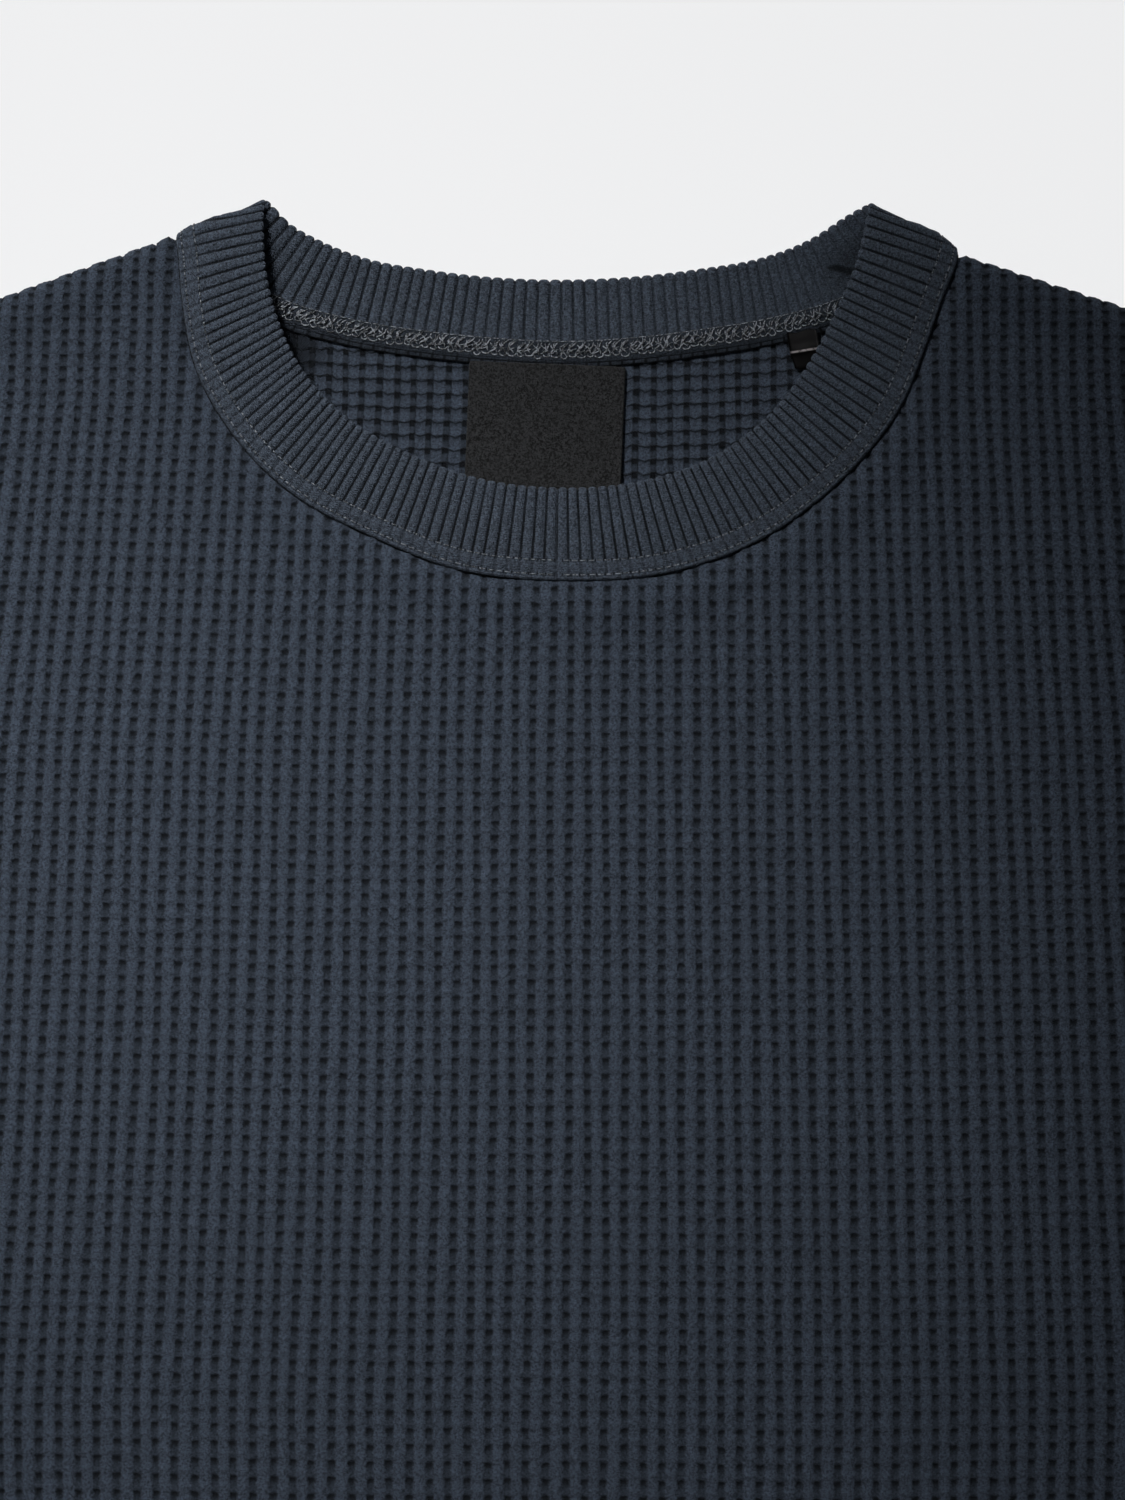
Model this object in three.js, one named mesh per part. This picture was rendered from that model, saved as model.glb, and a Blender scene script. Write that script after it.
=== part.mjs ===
// Thermal top: a long-sleeved waffle-knit top with a ribbed crew neck, laid flat on its back.
// Millimetres. X runs across the top, Y up towards the neck and Z off the surface it lies on.
// The pieces are drawn with Y at 0 beside the neck, where the shoulder begins.
import * as THREE from 'three';

// Cloth, seams and hems
const CLOTH = 1.8;
const GAP = 0.3;
const SEAM_GAP = 0.5;
const NECK_GAP = 0.8;
const HEM_DEPTH = 22;
const HEM_STEP = 6;
const HEM_EXTRA = 0.8;
const SEAM_BUMP = 1.2;
const SEAM_BUMP_WIDTH = 12;
const EDGE_DROP = 0.7;
const EDGE_ROUND = 1.2;

// Body
const HEM_Y = -690;
const HEM_HALF = 278;
const CHEST_HALF = 283;
const ARMPIT_Y = -285;
const TIP_HALF = 250;
const TIP_Y = -47;
const LEFT_NECK_POINT = [-113.2, 2];
const RIGHT_NECK_POINT = [114.2, -3.4];
const BODY_ROWS = [0, HEM_DEPTH, HEM_DEPTH + HEM_STEP, 60, 130, 210, 290, 350];
const SHOULDER_STEPS = [0, 1.2, 4, 12, 50, 95];

// Armhole and sleeve, on the right; the left ones are mirrored
const ARMHOLE = [[TIP_HALF, TIP_Y], [239, -105], [239, -170], [255, -232], [CHEST_HALF, ARMPIT_Y]];
const SLEEVE_OVER = [[TIP_HALF, TIP_Y], [298, -67], [345, -103], [392, -157], [520, -321], [649, -486]];
const CUFF_WIDTH = 100;
const CUFF_TURN = THREE.MathUtils.degToRad(218);
const UNDERARM_SAG = 8;
const SLEEVE_HOLLOW = 0.8;
const SLEEVE_STATIONS = [0, 10, 40, 80, 130, 190, 250, 310, 370, 430, 490, 545];
const EDGE_DISTANCES = [1, 3];
const ACROSS_PARTS = 6;

// Ribbed collar
const RIBS = 162;
const RIB_WALL = 2;
const RIB_DEPTH = 0.45;
const COLLAR_BOW = 0.8;
const FOLD_BOW = 2;
const REST_SNAP = 0.3;

// The collar at a rib number counted from the front centre: the neck seam, the free edge and
// how far the seam allowance stands off the inner face. The top's own right is at plus X.
const NECK_COLUMNS = ['rib', 'seamX', 'seamY', 'seamZ', 'edgeX', 'edgeY', 'edgeZ', 'allowance'];
const NECK_RIGHT = [
  [0, -1, -96, 4, -1, -69.6, 6, 0],
  [8, 28, -94, 4, 21, -67.7, 6.2, 0],
  [16, 54.5, -84.8, 4.1, 41, -61, 6.8, 0],
  [24, 77, -68.6, 4.2, 57.4, -49, 7.6, 0],
  [32, 94.6, -47.6, 4.4, 69.7, -32.4, 8.8, 0],
  [38, 102.6, -28.6, 4.7, 77.4, -17.1, 9.8, 0],
  [42, 107.1, -15.7, 4.8, 81.9, -6.3, 10.2, 0],
  [45, 111, -5.6, 4.5, 84.2, 2.9, 10, 0],
  [47, 111.2, -2.4, 2.9, 85.4, 8.8, 9, 0],
  [49, 107.6, -6.2, 1.6, 86, 10.8, 7, 0],
  [52, 95.8, -13.6, 1.2, 80, 8, 4.6, 0.2],
  [56, 81.3, -20.8, 1.05, 70.5, 1.9, 3, 0.8],
  [62, 60.4, -27, 1.05, 55.5, -4, 2.2, 0.8],
  [68, 41, -30.3, 1.05, 38.5, -7, 1.8, 0.8],
  [74, 21, -32.8, 1.05, 19.8, -9.2, 1.5, 0.8],
  [81, -3, -34, 1.05, -3, -10.1, 1.4, 0.8],
];
const NECK_LEFT = [
  [8, -29.6, -93.1, 4, -23.8, -67.1, 6.2, 0],
  [16, -55.6, -83.3, 4.1, -45, -59.6, 6.8, 0],
  [24, -78.6, -70.7, 4.2, -62.3, -49.4, 7.6, 0],
  [32, -96, -52.6, 4.4, -75.1, -35.4, 8.8, 0],
  [38, -105.1, -36, 4.6, -80.9, -23.4, 9.8, 0],
  [44, -109, -17.4, 4.8, -84.7, -9.4, 10.4, 0],
  [48, -110.2, -3.6, 4.7, -85.6, 1.4, 10.2, 0],
  [50.5, -110.6, 1.6, 3.2, -85.6, 8.6, 9, 0],
  [52.5, -106.8, -3.4, 1.8, -85, 11.8, 7, 0],
  [55.5, -96, -13.8, 1.2, -78.5, 5.7, 4.6, 0.2],
  [59, -83.3, -21.2, 1.05, -70, 1, 3, 0.8],
  [64, -63.7, -27.2, 1.05, -56.8, -4.1, 2.2, 0.8],
  [70, -43.2, -30.7, 1.05, -38.5, -7.4, 1.8, 0.8],
  [75.5, -24, -32.8, 1.05, -21, -9.4, 1.5, 0.8],
];
const FRONT_NECK_RIBS = [-48, -45, -41, -36, -32, -28, -24, -20, -16, -12, -8, -4,
  0, 4, 8, 12, 16, 20, 24, 28, 32, 36, 40, 43, 45];
const BACK_NECK_RIBS = [-53.5, -55, -56.5, -58, -60, -62, -66, -70, -74, -78, -81,
  -84, -88, -92, -96, -100, -103, -105, -107, -109, -111];

// The collar wall's section: place across the band from seam to edge, face, rib depth and allowance
const SECTION = [
  { across: 0, face: 1, rib: 1, allowance: 0 },
  { across: 0.34, face: 1, rib: 1, allowance: 0 },
  { across: 0.68, face: 1, rib: 1, allowance: 0 },
  { across: 0.955, face: 0.85, rib: 1, allowance: 0 },
  { across: 1, face: 0, rib: 1, allowance: 0 },
  { across: 0.955, face: -0.85, rib: 1, allowance: 0 },
  { across: 0.68, face: -1, rib: 1, allowance: 0 },
  { across: 0.35, face: -1, rib: 1, allowance: 0 },
  { across: 0.29, face: -1, rib: 0, allowance: 1 },
  { across: 0, face: -1, rib: 0, allowance: 1 },
];

// Neck label and loop tab
const LABEL = { width: 44.6, height: 46.5, thickness: 0.8, corner: 1.5, x: -6.2, y: -58.2, turn: -2.3 };
const TAB = { width: 8.6, length: 8.4, thickness: 0.5, height: 1.6, x: 67.2, y: -26.6, turn: -82 };

const WAFFLE = { color: 0x2d323b, roughness: 0.95, metalness: 0 };
const RIB = { color: 0x2f353d, roughness: 0.92, metalness: 0 };
const SUEDE = { color: 0x222424, roughness: 0.9, metalness: 0 };
const SATIN = { color: 0x1b1718, roughness: 0.35, metalness: 0 };

// Geometry helpers
function curveThrough(points) {
  const spots = points.map(([x, y]) => new THREE.Vector3(x, y, 0));
  return new THREE.CatmullRomCurve3(spots, false, 'centripetal');
}

function faceVolume(vertices, [a, b, c]) {
  return vertices[a].dot(new THREE.Vector3().crossVectors(vertices[b], vertices[c])) / 6;
}

// One closed body from a loop of point rows; its open sides are closed across when it has any.
function bodyFromRows(rows, wrapsAcross) {
  const count = rows.length;
  const across = rows[0].length;
  const index = (row, column) => (row % count) * across + (column % across);
  const faces = [];
  const quad = (a, b, c, d) => faces.push([a, b, c], [a, c, d]);
  const strips = wrapsAcross ? across : across - 1;
  for (let row = 0; row < count; row += 1) {
    for (let column = 0; column < strips; column += 1) {
      quad(index(row, column), index(row + 1, column), index(row + 1, column + 1), index(row, column + 1));
    }
  }
  if (!wrapsAcross) {
    for (let row = 0; row < count / 2 - 1; row += 1) {
      const facing = count - 1 - row;
      quad(index(row, 0), index(facing, 0), index(facing - 1, 0), index(row + 1, 0));
      const last = across - 1;
      quad(index(row, last), index(row + 1, last), index(facing - 1, last), index(facing, last));
    }
  }
  const vertices = rows.flat();
  const volume = faces.reduce((sum, face) => sum + faceVolume(vertices, face), 0);
  const outward = volume > 0 ? faces : faces.map(([a, b, c]) => [a, c, b]);
  const geometry = new THREE.BufferGeometry();
  const places = vertices.flatMap((point) => point.toArray());
  geometry.setAttribute('position', new THREE.Float32BufferAttribute(places, 3));
  geometry.setIndex(outward.flat());
  geometry.computeVertexNormals();
  return geometry;
}

// A patch between four boundary curves: u runs from left to right and v from bottom to top.
function patchPoint(sides, u, v) {
  const { bottom, top, left, right, corners } = sides;
  const point = new THREE.Vector3();
  point.addScaledVector(bottom, 1 - v).addScaledVector(top, v);
  point.addScaledVector(left, 1 - u).addScaledVector(right, u);
  point.addScaledVector(corners[0], -(1 - u) * (1 - v)).addScaledVector(corners[1], -u * (1 - v));
  point.addScaledVector(corners[2], -(1 - u) * v).addScaledVector(corners[3], -u * v);
  return point;
}

// Collar
const neckRows = [
  ...NECK_RIGHT,
  ...NECK_LEFT.map(([rib, ...rest]) => [RIBS - rib, ...rest]).reverse(),
];

function neckRow(number) {
  const lap = Math.floor(number / neckRows.length);
  const row = [...neckRows[number - lap * neckRows.length]];
  row[0] += lap * RIBS;
  return row;
}

function slopeAt(before, here, after, column) {
  const stepBefore = here[0] - before[0];
  const stepAfter = after[0] - here[0];
  const riseBefore = (here[column] - before[column]) / stepBefore;
  const riseAfter = (after[column] - here[column]) / stepAfter;
  return (riseAfter * stepBefore + riseBefore * stepAfter) / (stepBefore + stepAfter);
}

// The collar's sizes at any rib, on a smooth curve through the table's rows.
function neckAt(rib) {
  const turn = ((rib % RIBS) + RIBS) % RIBS;
  const start = neckRows.findLastIndex((row) => row[0] <= turn);
  const [before, from, to, after] = [start - 1, start, start + 1, start + 2].map(neckRow);
  const step = to[0] - from[0];
  const t = (turn - from[0]) / step;
  const sizes = {};
  NECK_COLUMNS.forEach((name, column) => {
    const leave = slopeAt(before, from, to, column) * step;
    const arrive = slopeAt(from, to, after, column) * step;
    const rise = to[column] - from[column];
    const bend = t * (3 * rise - 2 * leave - arrive + t * (leave + arrive - 2 * rise));
    sizes[name] = from[column] + t * (leave + bend);
  });
  return {
    seam: new THREE.Vector3(sizes.seamX, sizes.seamY, sizes.seamZ),
    edge: new THREE.Vector3(sizes.edgeX, sizes.edgeY, sizes.edgeZ),
    allowance: sizes.allowance,
  };
}

function bandMiddle(rib, across) {
  const { seam, edge } = neckAt(rib);
  return seam.lerp(edge, across);
}

function bandNormal(rib, across) {
  const along = bandMiddle(rib + 0.5, across).sub(bandMiddle(rib - 0.5, across));
  const { seam, edge } = neckAt(rib);
  return along.cross(edge.sub(seam)).normalize();
}

function collarPoint(rib, isGroove, { across, face, rib: ribShare, allowance }) {
  const relief = isGroove ? RIB_DEPTH * ribShare : 0;
  const { seam, edge, allowance: stand } = neckAt(rib);
  const reach = across === 1 ? across - relief / seam.distanceTo(edge) : across;
  const normal = bandNormal(rib, across);
  const crown = COLLAR_BOW * Math.max(normal.z, 0) * 4 * across * (1 - across);
  const foldCrown = FOLD_BOW * (1 - normal.z ** 2) * 6.75 * across * (1 - across) ** 2;
  const offset = face * (RIB_WALL / 2 - relief) - allowance * stand;
  const point = bandMiddle(rib, reach).addScaledVector(normal, offset + crown + foldCrown);
  if (point.z < REST_SNAP) {
    point.z = 0;
  }
  return point;
}

function collarGeometry() {
  const rows = [];
  for (let half = 0; half < RIBS * 2; half += 1) {
    rows.push(SECTION.map((spot) => collarPoint(half / 2, half % 2 === 1, spot)));
  }
  return bodyFromRows(rows, true);
}

// Front and back
const armhole = curveThrough(ARMHOLE);
const armholeLength = armhole.getLength();

function acrossShares(width) {
  const near = EDGE_DISTANCES.map((distance) => distance / width);
  const middle = Array.from({ length: ACROSS_PARTS - 1 }, (_, part) => (part + 1) / ACROSS_PARTS);
  return [0, ...near, ...middle, ...near.map((share) => 1 - share).reverse(), 1];
}

// Rows of a body panel from hem to shoulder, by the right side's points. The low rows lie straight
// across, and the higher ones bend towards the neck.
function bodyRows() {
  const sideLength = ARMPIT_Y - HEM_Y;
  const total = sideLength + armholeLength;
  const low = BODY_ROWS.map((height) => ({
    side: new THREE.Vector3(HEM_HALF + (CHEST_HALF - HEM_HALF) * (height / sideLength), HEM_Y + height, 0),
    v: (height / sideLength) ** 2 * (sideLength / total),
    thickness: height <= HEM_DEPTH ? CLOTH + HEM_EXTRA : CLOTH,
    sideSeam: 1,
  }));
  const high = acrossShares(armholeLength).reverse().map((share) => ({
    side: armhole.getPointAt(share),
    v: (sideLength + (1 - share) * armholeLength) / total,
    thickness: CLOTH,
    sideSeam: share === 1 ? 1 : 0,
  }));
  return [...low, ...high];
}

// Neck edge of a panel, just outside the collar's seam.
function neckEdge(ribs) {
  return ribs.map((rib) => {
    const { seam, edge } = neckAt(rib);
    const away = seam.clone().sub(edge).setZ(0).normalize();
    return seam.setZ(0).addScaledVector(away, NECK_GAP);
  });
}

function shoulderEdge(tipX, [neckX, neckY]) {
  const tip = new THREE.Vector3(tipX, TIP_Y, 0);
  const neck = new THREE.Vector3(neckX, neckY, 0);
  const length = tip.distanceTo(neck);
  return [...SHOULDER_STEPS, length].map((step) => tip.clone().lerp(neck, step / length));
}

function topEdge(neckRibs) {
  const left = shoulderEdge(-TIP_HALF, LEFT_NECK_POINT);
  const right = shoulderEdge(TIP_HALF, RIGHT_NECK_POINT).reverse();
  const shoulders = left.length;
  const points = [...left, ...neckEdge(neckRibs), ...right];
  const isShoulder = points.map((_, place) => place < shoulders || place >= points.length - shoulders);
  return { points, isShoulder };
}

function bumpAt(distance) {
  return SEAM_BUMP * Math.sin(Math.PI * Math.min(distance / SEAM_BUMP_WIDTH, 1));
}

function dropAt(distance) {
  return EDGE_DROP * (1 - Math.min(distance / EDGE_ROUND, 1));
}

function panelGeometry(neckRibs, isFront) {
  const { points: top, isShoulder } = topEdge(neckRibs);
  const rows = bodyRows();
  const mirror = (point) => point.clone().setX(-point.x);
  const hem = rows[0].side;
  const tip = rows.at(-1).side;
  const corners = [mirror(hem), hem, mirror(tip), tip];
  const lower = [];
  const upper = [];
  rows.forEach(({ side, v, thickness, sideSeam }) => {
    const low = [];
    const high = [];
    top.forEach((topPoint, place) => {
      const u = (topPoint.x + TIP_HALF) / (2 * TIP_HALF);
      const bottom = corners[0].clone().lerp(corners[1], u);
      const point = patchPoint({ bottom, top: topPoint, left: mirror(side), right: side, corners }, u, v);
      const fromSide = sideSeam ? side.x - Math.abs(point.x) : Infinity;
      const fromTop = isShoulder[place] ? point.distanceTo(topPoint) : Infinity;
      const fromEdge = Math.min(fromSide, fromTop);
      const floor = isFront ? thickness + GAP + bumpAt(fromEdge) : 0;
      low.push(point.clone().setZ(floor));
      high.push(point.clone().setZ(floor + thickness - (isFront ? dropAt(fromEdge) : 0)));
    });
    lower.push(low);
    upper.push(high);
  });
  return bodyFromRows([...lower, ...upper.reverse()], false);
}

// Sleeves
const sleeveOver = curveThrough(SLEEVE_OVER);
const sleeveLength = sleeveOver.getLength();
const cuffOver = sleeveOver.getPoint(1);
const cuffAcross = new THREE.Vector3(Math.cos(CUFF_TURN), Math.sin(CUFF_TURN), 0);
const cuffUnder = cuffOver.clone().addScaledVector(cuffAcross, CUFF_WIDTH);
const armpit = armhole.getPoint(1);
const underarmMiddle = armpit.clone().lerp(cuffUnder, 0.5).addScaledVector(cuffAcross, -UNDERARM_SAG);
const sleeveUnder = curveThrough([armpit, underarmMiddle, cuffUnder].map((point) => [point.x, point.y]));
const sleeveCorners = [armhole.getPoint(0), armpit, cuffOver, cuffUnder];

function sleevePoint(share, across) {
  return patchPoint({
    bottom: armhole.getPointAt(across),
    top: cuffOver.clone().lerp(cuffUnder, across),
    left: sleeveOver.getPointAt(share),
    right: sleeveUnder.getPointAt(share),
    corners: sleeveCorners,
  }, across, share);
}

// One ring of a sleeve wall, flat underneath, over the top and back along the bottom.
function sleeveRing(station, side, isInner) {
  const share = station / sleeveLength;
  const thickness = station >= sleeveLength - HEM_DEPTH ? CLOTH + HEM_EXTRA : CLOTH;
  const height = 2 * thickness + SLEEVE_HOLLOW;
  const width = share === 0 ? armholeLength : sleevePoint(share, 0).distanceTo(sleevePoint(share, 1));
  const shares = acrossShares(width);
  const inset = isInner ? CLOTH / width : 0;
  const half = isInner ? SLEEVE_HOLLOW / 2 : height / 2;
  const place = (across, face) => {
    const point = sleevePoint(share, inset + across * (1 - 2 * inset));
    const fromEdge = Math.min(across, 1 - across) * width;
    const flatness = Math.min(fromEdge / (height / 2), 1);
    const rise = isInner ? Math.ceil(flatness) : Math.sqrt(1 - (1 - flatness) ** 2);
    return new THREE.Vector3(side * (point.x + SEAM_GAP), point.y, height / 2 + face * half * rise);
  };
  const over = shares.map((across) => place(across, 1));
  const under = shares.slice(1, -1).reverse().map((across) => place(across, -1));
  return [...over, ...under];
}

function sleeveGeometry(side) {
  const hemTop = sleeveLength - HEM_DEPTH;
  const stations = [...SLEEVE_STATIONS, hemTop - HEM_STEP, hemTop, sleeveLength];
  const outer = stations.map((station) => sleeveRing(station, side, false));
  const inner = stations.map((station) => sleeveRing(station, side, true)).reverse();
  return bodyFromRows([...outer, ...inner], true);
}

// Neck label, a thin suede plate sewn under the back of the collar
function labelGeometry() {
  const { width, height, thickness, corner } = LABEL;
  const x = width / 2 - corner;
  const y = height / 2 - corner;
  const outline = new THREE.Shape();
  outline.absarc(x, y, corner, 0, Math.PI / 2);
  outline.absarc(-x, y, corner, Math.PI / 2, Math.PI);
  outline.absarc(-x, -y, corner, Math.PI, Math.PI * 1.5);
  outline.absarc(x, -y, corner, Math.PI * 1.5, Math.PI * 2);
  outline.closePath();
  return new THREE.ExtrudeGeometry(outline, { depth: thickness, bevelEnabled: false, curveSegments: 3 });
}

// Loop tab, a satin ribbon folded back on itself
function tabGeometry() {
  const { width, length, thickness, height } = TAB;
  const radius = height / 2;
  const bend = length - radius;
  const outline = new THREE.Shape();
  outline.moveTo(0, 0);
  outline.lineTo(bend, 0);
  outline.absarc(bend, radius, radius, -Math.PI / 2, Math.PI / 2);
  outline.lineTo(0, height);
  outline.lineTo(0, height - thickness);
  outline.lineTo(bend, height - thickness);
  outline.absarc(bend, radius, radius - thickness, Math.PI / 2, -Math.PI / 2, true);
  outline.lineTo(0, thickness);
  outline.closePath();
  return new THREE.ExtrudeGeometry(outline, { depth: width, bevelEnabled: false, curveSegments: 6 });
}

const thermalTop = new THREE.Group();

function addPiece(name, geometry, finish) {
  const mesh = new THREE.Mesh(geometry, new THREE.MeshStandardMaterial(finish));
  mesh.name = name;
  thermalTop.add(mesh);
  return mesh;
}

addPiece('front', panelGeometry(FRONT_NECK_RIBS, true), WAFFLE);
addPiece('back', panelGeometry(BACK_NECK_RIBS, false), WAFFLE);
addPiece('sleeve_right', sleeveGeometry(1), WAFFLE);
addPiece('sleeve_left', sleeveGeometry(-1), WAFFLE);
addPiece('collar', collarGeometry(), RIB);

const label = addPiece('neck_label', labelGeometry(), SUEDE);
label.position.set(LABEL.x, LABEL.y, CLOTH + GAP);
label.rotation.z = THREE.MathUtils.degToRad(LABEL.turn);

const tab = addPiece('loop_tab', tabGeometry(), SATIN);
const tabTurn = THREE.MathUtils.degToRad(TAB.turn);
const tabAlong = new THREE.Vector3(Math.cos(tabTurn), Math.sin(tabTurn), 0);
const upward = new THREE.Vector3(0, 0, 1);
const tabAcross = tabAlong.clone().cross(upward);
tab.setRotationFromMatrix(new THREE.Matrix4().makeBasis(tabAlong, upward, tabAcross));
tab.position.set(TAB.x, TAB.y, CLOTH + GAP).addScaledVector(tabAcross, -TAB.width / 2);

// The origin is under the middle of the whole top.
const box = new THREE.Box3().setFromObject(thermalTop);
const middle = box.getCenter(new THREE.Vector3());
thermalTop.position.set(-middle.x, -middle.y, -box.min.z);

export default thermalTop;
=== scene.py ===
import math

import bpy
import numpy as np
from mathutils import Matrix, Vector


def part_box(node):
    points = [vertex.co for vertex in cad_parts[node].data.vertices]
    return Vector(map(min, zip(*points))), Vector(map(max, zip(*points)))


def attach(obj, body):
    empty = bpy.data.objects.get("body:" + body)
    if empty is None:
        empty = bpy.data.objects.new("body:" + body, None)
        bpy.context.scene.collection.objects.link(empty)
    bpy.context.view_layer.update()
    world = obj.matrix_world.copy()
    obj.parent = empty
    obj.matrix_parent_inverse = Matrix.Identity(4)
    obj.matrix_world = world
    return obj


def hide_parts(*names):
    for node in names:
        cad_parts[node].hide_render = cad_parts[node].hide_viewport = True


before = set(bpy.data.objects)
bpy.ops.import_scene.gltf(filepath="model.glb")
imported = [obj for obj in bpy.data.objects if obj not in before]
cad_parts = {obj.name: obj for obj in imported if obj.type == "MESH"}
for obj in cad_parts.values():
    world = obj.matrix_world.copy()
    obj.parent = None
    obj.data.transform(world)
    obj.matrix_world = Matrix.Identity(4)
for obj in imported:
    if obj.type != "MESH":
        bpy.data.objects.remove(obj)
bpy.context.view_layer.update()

bl_info = {
    "name": "Thermal Top",
    "version": (1, 0, 0),
    "blender": (4, 5, 0),
    "location": "3D View > Sidebar > Thermal Top",
    "description": "Dresses a waffle-knit thermal top laid flat, with its ribbed neck and stitching",
    "category": "Object",
}

# Sizes are in millimetres, with Y at 0 beside the neck, as the pieces were cut and laid.
MM = 0.001
HEM_Y = -690
HEM_HALF = 278
CHEST_HALF = 283
ARMPIT_Y = -285
TIP_HALF = 250
TIP_Y = -47
LEFT_NECK_POINT = (-113.2, 2)
RIGHT_NECK_POINT = (114.2, -3.4)
ARMHOLE = [(250, -47), (239, -105), (239, -170), (255, -232), (283, -285)]
SLEEVE_OVER = [(250, -47), (298, -67), (345, -103), (392, -157), (520, -321), (649, -486)]
CUFF_WIDTH = 100
CUFF_TURN = math.radians(218)
UNDERARM_SAG = 8
SHIFT_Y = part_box("front")[0][1] / MM - HEM_Y
PHOTO_HEIGHT = 1500
PHOTO_SCALE = 3.5
PHOTO_MIDDLE = (-1, -144.3)
FLOOR_SIZE = 60

# Heights above the surface that the top lies on, and the roundness of its edges
LOWEST = 0.02
FRONT_FACE = 4.4
BACK_FACE = 0.25
SEAM_LEVEL = 2.3
EDGE_RADIUS = 2.4
HEM_RADIUS = 1.25
HEM_DEPTH = 22

# Waffle cloth: the column that the fan opens from, the places of mesh points within a column and a
# row, and the pitch of the columns and rows at heights down the body
FAN_X = 30
COLUMN_SPOTS = (0.24, 0.5, 0.76)
PLAIN_SPOTS = (0.0, 0.5)
ROW_SPOTS = (0.0, 0.24)
COLUMN_HEIGHTS = (-690, -330, -244, -144, -44, 20)
COLUMN_PITCHES = (5.35, 5.55, 5.38, 5.2, 4.88, 4.8)
ROW_HEIGHTS = (-400, -345, -300, -222, -195, -110, -92, -66, -20)
ROW_PITCHES = (4.6, 4.9, 4.55, 4.55, 4.1, 4.1, 4.4, 3.9)
TOP_ROW_PITCH = 3.45
TOP_ROW_PITCH_INSIDE = 3.9
SLEEVE_ROW = 4.5
SLEEVE_COLUMN = 5.1

# Ribbed collar, a row at each rib number counted from the front centre: the neck seam, the
# free edge and how far the seam allowance stands off the inner face.
RIBS = 162
RIB_WALL = 2.1
COLLAR_BOW = 0.8
FOLD_BOW = 2
NECK_RIGHT = [
    (0, -1, -96, 4, -1, -69.6, 6, 0),
    (8, 28, -94, 4, 21, -67.7, 6.2, 0),
    (16, 54.5, -84.8, 4.1, 41, -61, 6.8, 0),
    (24, 77, -68.6, 4.2, 57.4, -49, 7.6, 0),
    (32, 94.6, -47.6, 4.4, 69.7, -32.4, 8.8, 0),
    (38, 102.6, -28.6, 4.7, 77.4, -17.1, 9.8, 0),
    (42, 107.1, -15.7, 4.8, 81.9, -6.3, 10.2, 0),
    (45, 111, -5.6, 4.5, 84.2, 2.9, 10, 0),
    (47, 111.2, -2.4, 2.9, 85.4, 8.8, 9, 0),
    (49, 107.6, -6.2, 1.6, 86, 10.8, 7, 0),
    (52, 95.8, -13.6, 1.2, 80, 8, 4.6, 0.2),
    (56, 81.3, -20.8, 1.05, 70.5, 1.9, 3, 0.8),
    (62, 60.4, -27, 1.05, 55.5, -4, 2.2, 0.8),
    (68, 41, -30.3, 1.05, 38.5, -7, 1.8, 0.8),
    (74, 21, -32.8, 1.05, 19.8, -9.2, 1.5, 0.8),
    (81, -3, -34, 1.05, -3, -10.1, 1.4, 0.8),
]
NECK_LEFT = [
    (8, -29.6, -93.1, 4, -23.8, -67.1, 6.2, 0),
    (16, -55.6, -83.3, 4.1, -45, -59.6, 6.8, 0),
    (24, -78.6, -70.7, 4.2, -62.3, -49.4, 7.6, 0),
    (32, -96, -52.6, 4.4, -75.1, -35.4, 8.8, 0),
    (38, -105.1, -36, 4.6, -80.9, -23.4, 9.8, 0),
    (44, -109, -17.4, 4.8, -84.7, -9.4, 10.4, 0),
    (48, -110.2, -3.6, 4.7, -85.6, 1.4, 10.2, 0),
    (50.5, -110.6, 1.6, 3.2, -85.6, 8.6, 9, 0),
    (52.5, -106.8, -3.4, 1.8, -85, 11.8, 7, 0),
    (55.5, -96, -13.8, 1.2, -78.5, 5.7, 4.6, 0.2),
    (59, -83.3, -21.2, 1.05, -70, 1, 3, 0.8),
    (64, -63.7, -27.2, 1.05, -56.8, -4.1, 2.2, 0.8),
    (70, -43.2, -30.7, 1.05, -38.5, -7.4, 1.8, 0.8),
    (75.5, -24, -32.8, 1.05, -21, -9.4, 1.5, 0.8),
]

# Across one rib: place from its middle and depth of the surface there
RIB_PROFILE = [(-0.5, -0.8), (-0.4, -0.42), (-0.26, -0.1), (0, 0), (0.26, -0.1), (0.4, -0.42)]

# Cover stitches: distances of the two rows from the neck seam and ribs to a stitch
COVER_ROWS = (1.7, 5.8)
STITCH_RIBS = 0.675
HEM_ROWS = (HEM_DEPTH - 7, HEM_DEPTH - 1.5)
HEM_STITCH = 3

LABEL = {"width": 44.6, "height": 46.5, "thickness": 0.8, "corner": 0.6, "x": -6.2, "y": -57.4, "turn": -2.3}
LABEL_Z = 2.1
# The tab's rim is the distance from the seam of the painted glint along its crest
TAB = {"width": 8.6, "length": 9, "thickness": 0.45, "x": 67.4, "y": -26.4, "turn": -81, "rim": 4.1}

# The tab's ribbon seen from the side: distance from the seam and height, out over its crest and back
TAB_STEPS = 4
TAB_PATH = [
    (-1.5, 1.1), (0, 1.2), (1.8, 1.25), (3.2, 1.45), (3.9, 1.75), (4.3, 1.7), (5.2, 1.25),
    (6.8, 0.95), (8.2, 0.85), (8.75, 0.6), (8.2, 0.3), (6, 0.28), (3, 0.28), (-1.5, 0.3),
]

# Finishes: the darkest painted shade, as a share of a yarn colour, the nap's tint and the spot by the
# left fold that lies in its shadow, where shade is painted on
DARKEST_PAINTED_SHADE = 0.06
NAP_TINT = (0.7, 0.82, 1, 1)
YARN_GRAIN = (2200, 3, 0.8)
FOLD_SPOT = (-80.5, -29, 2)

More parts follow.
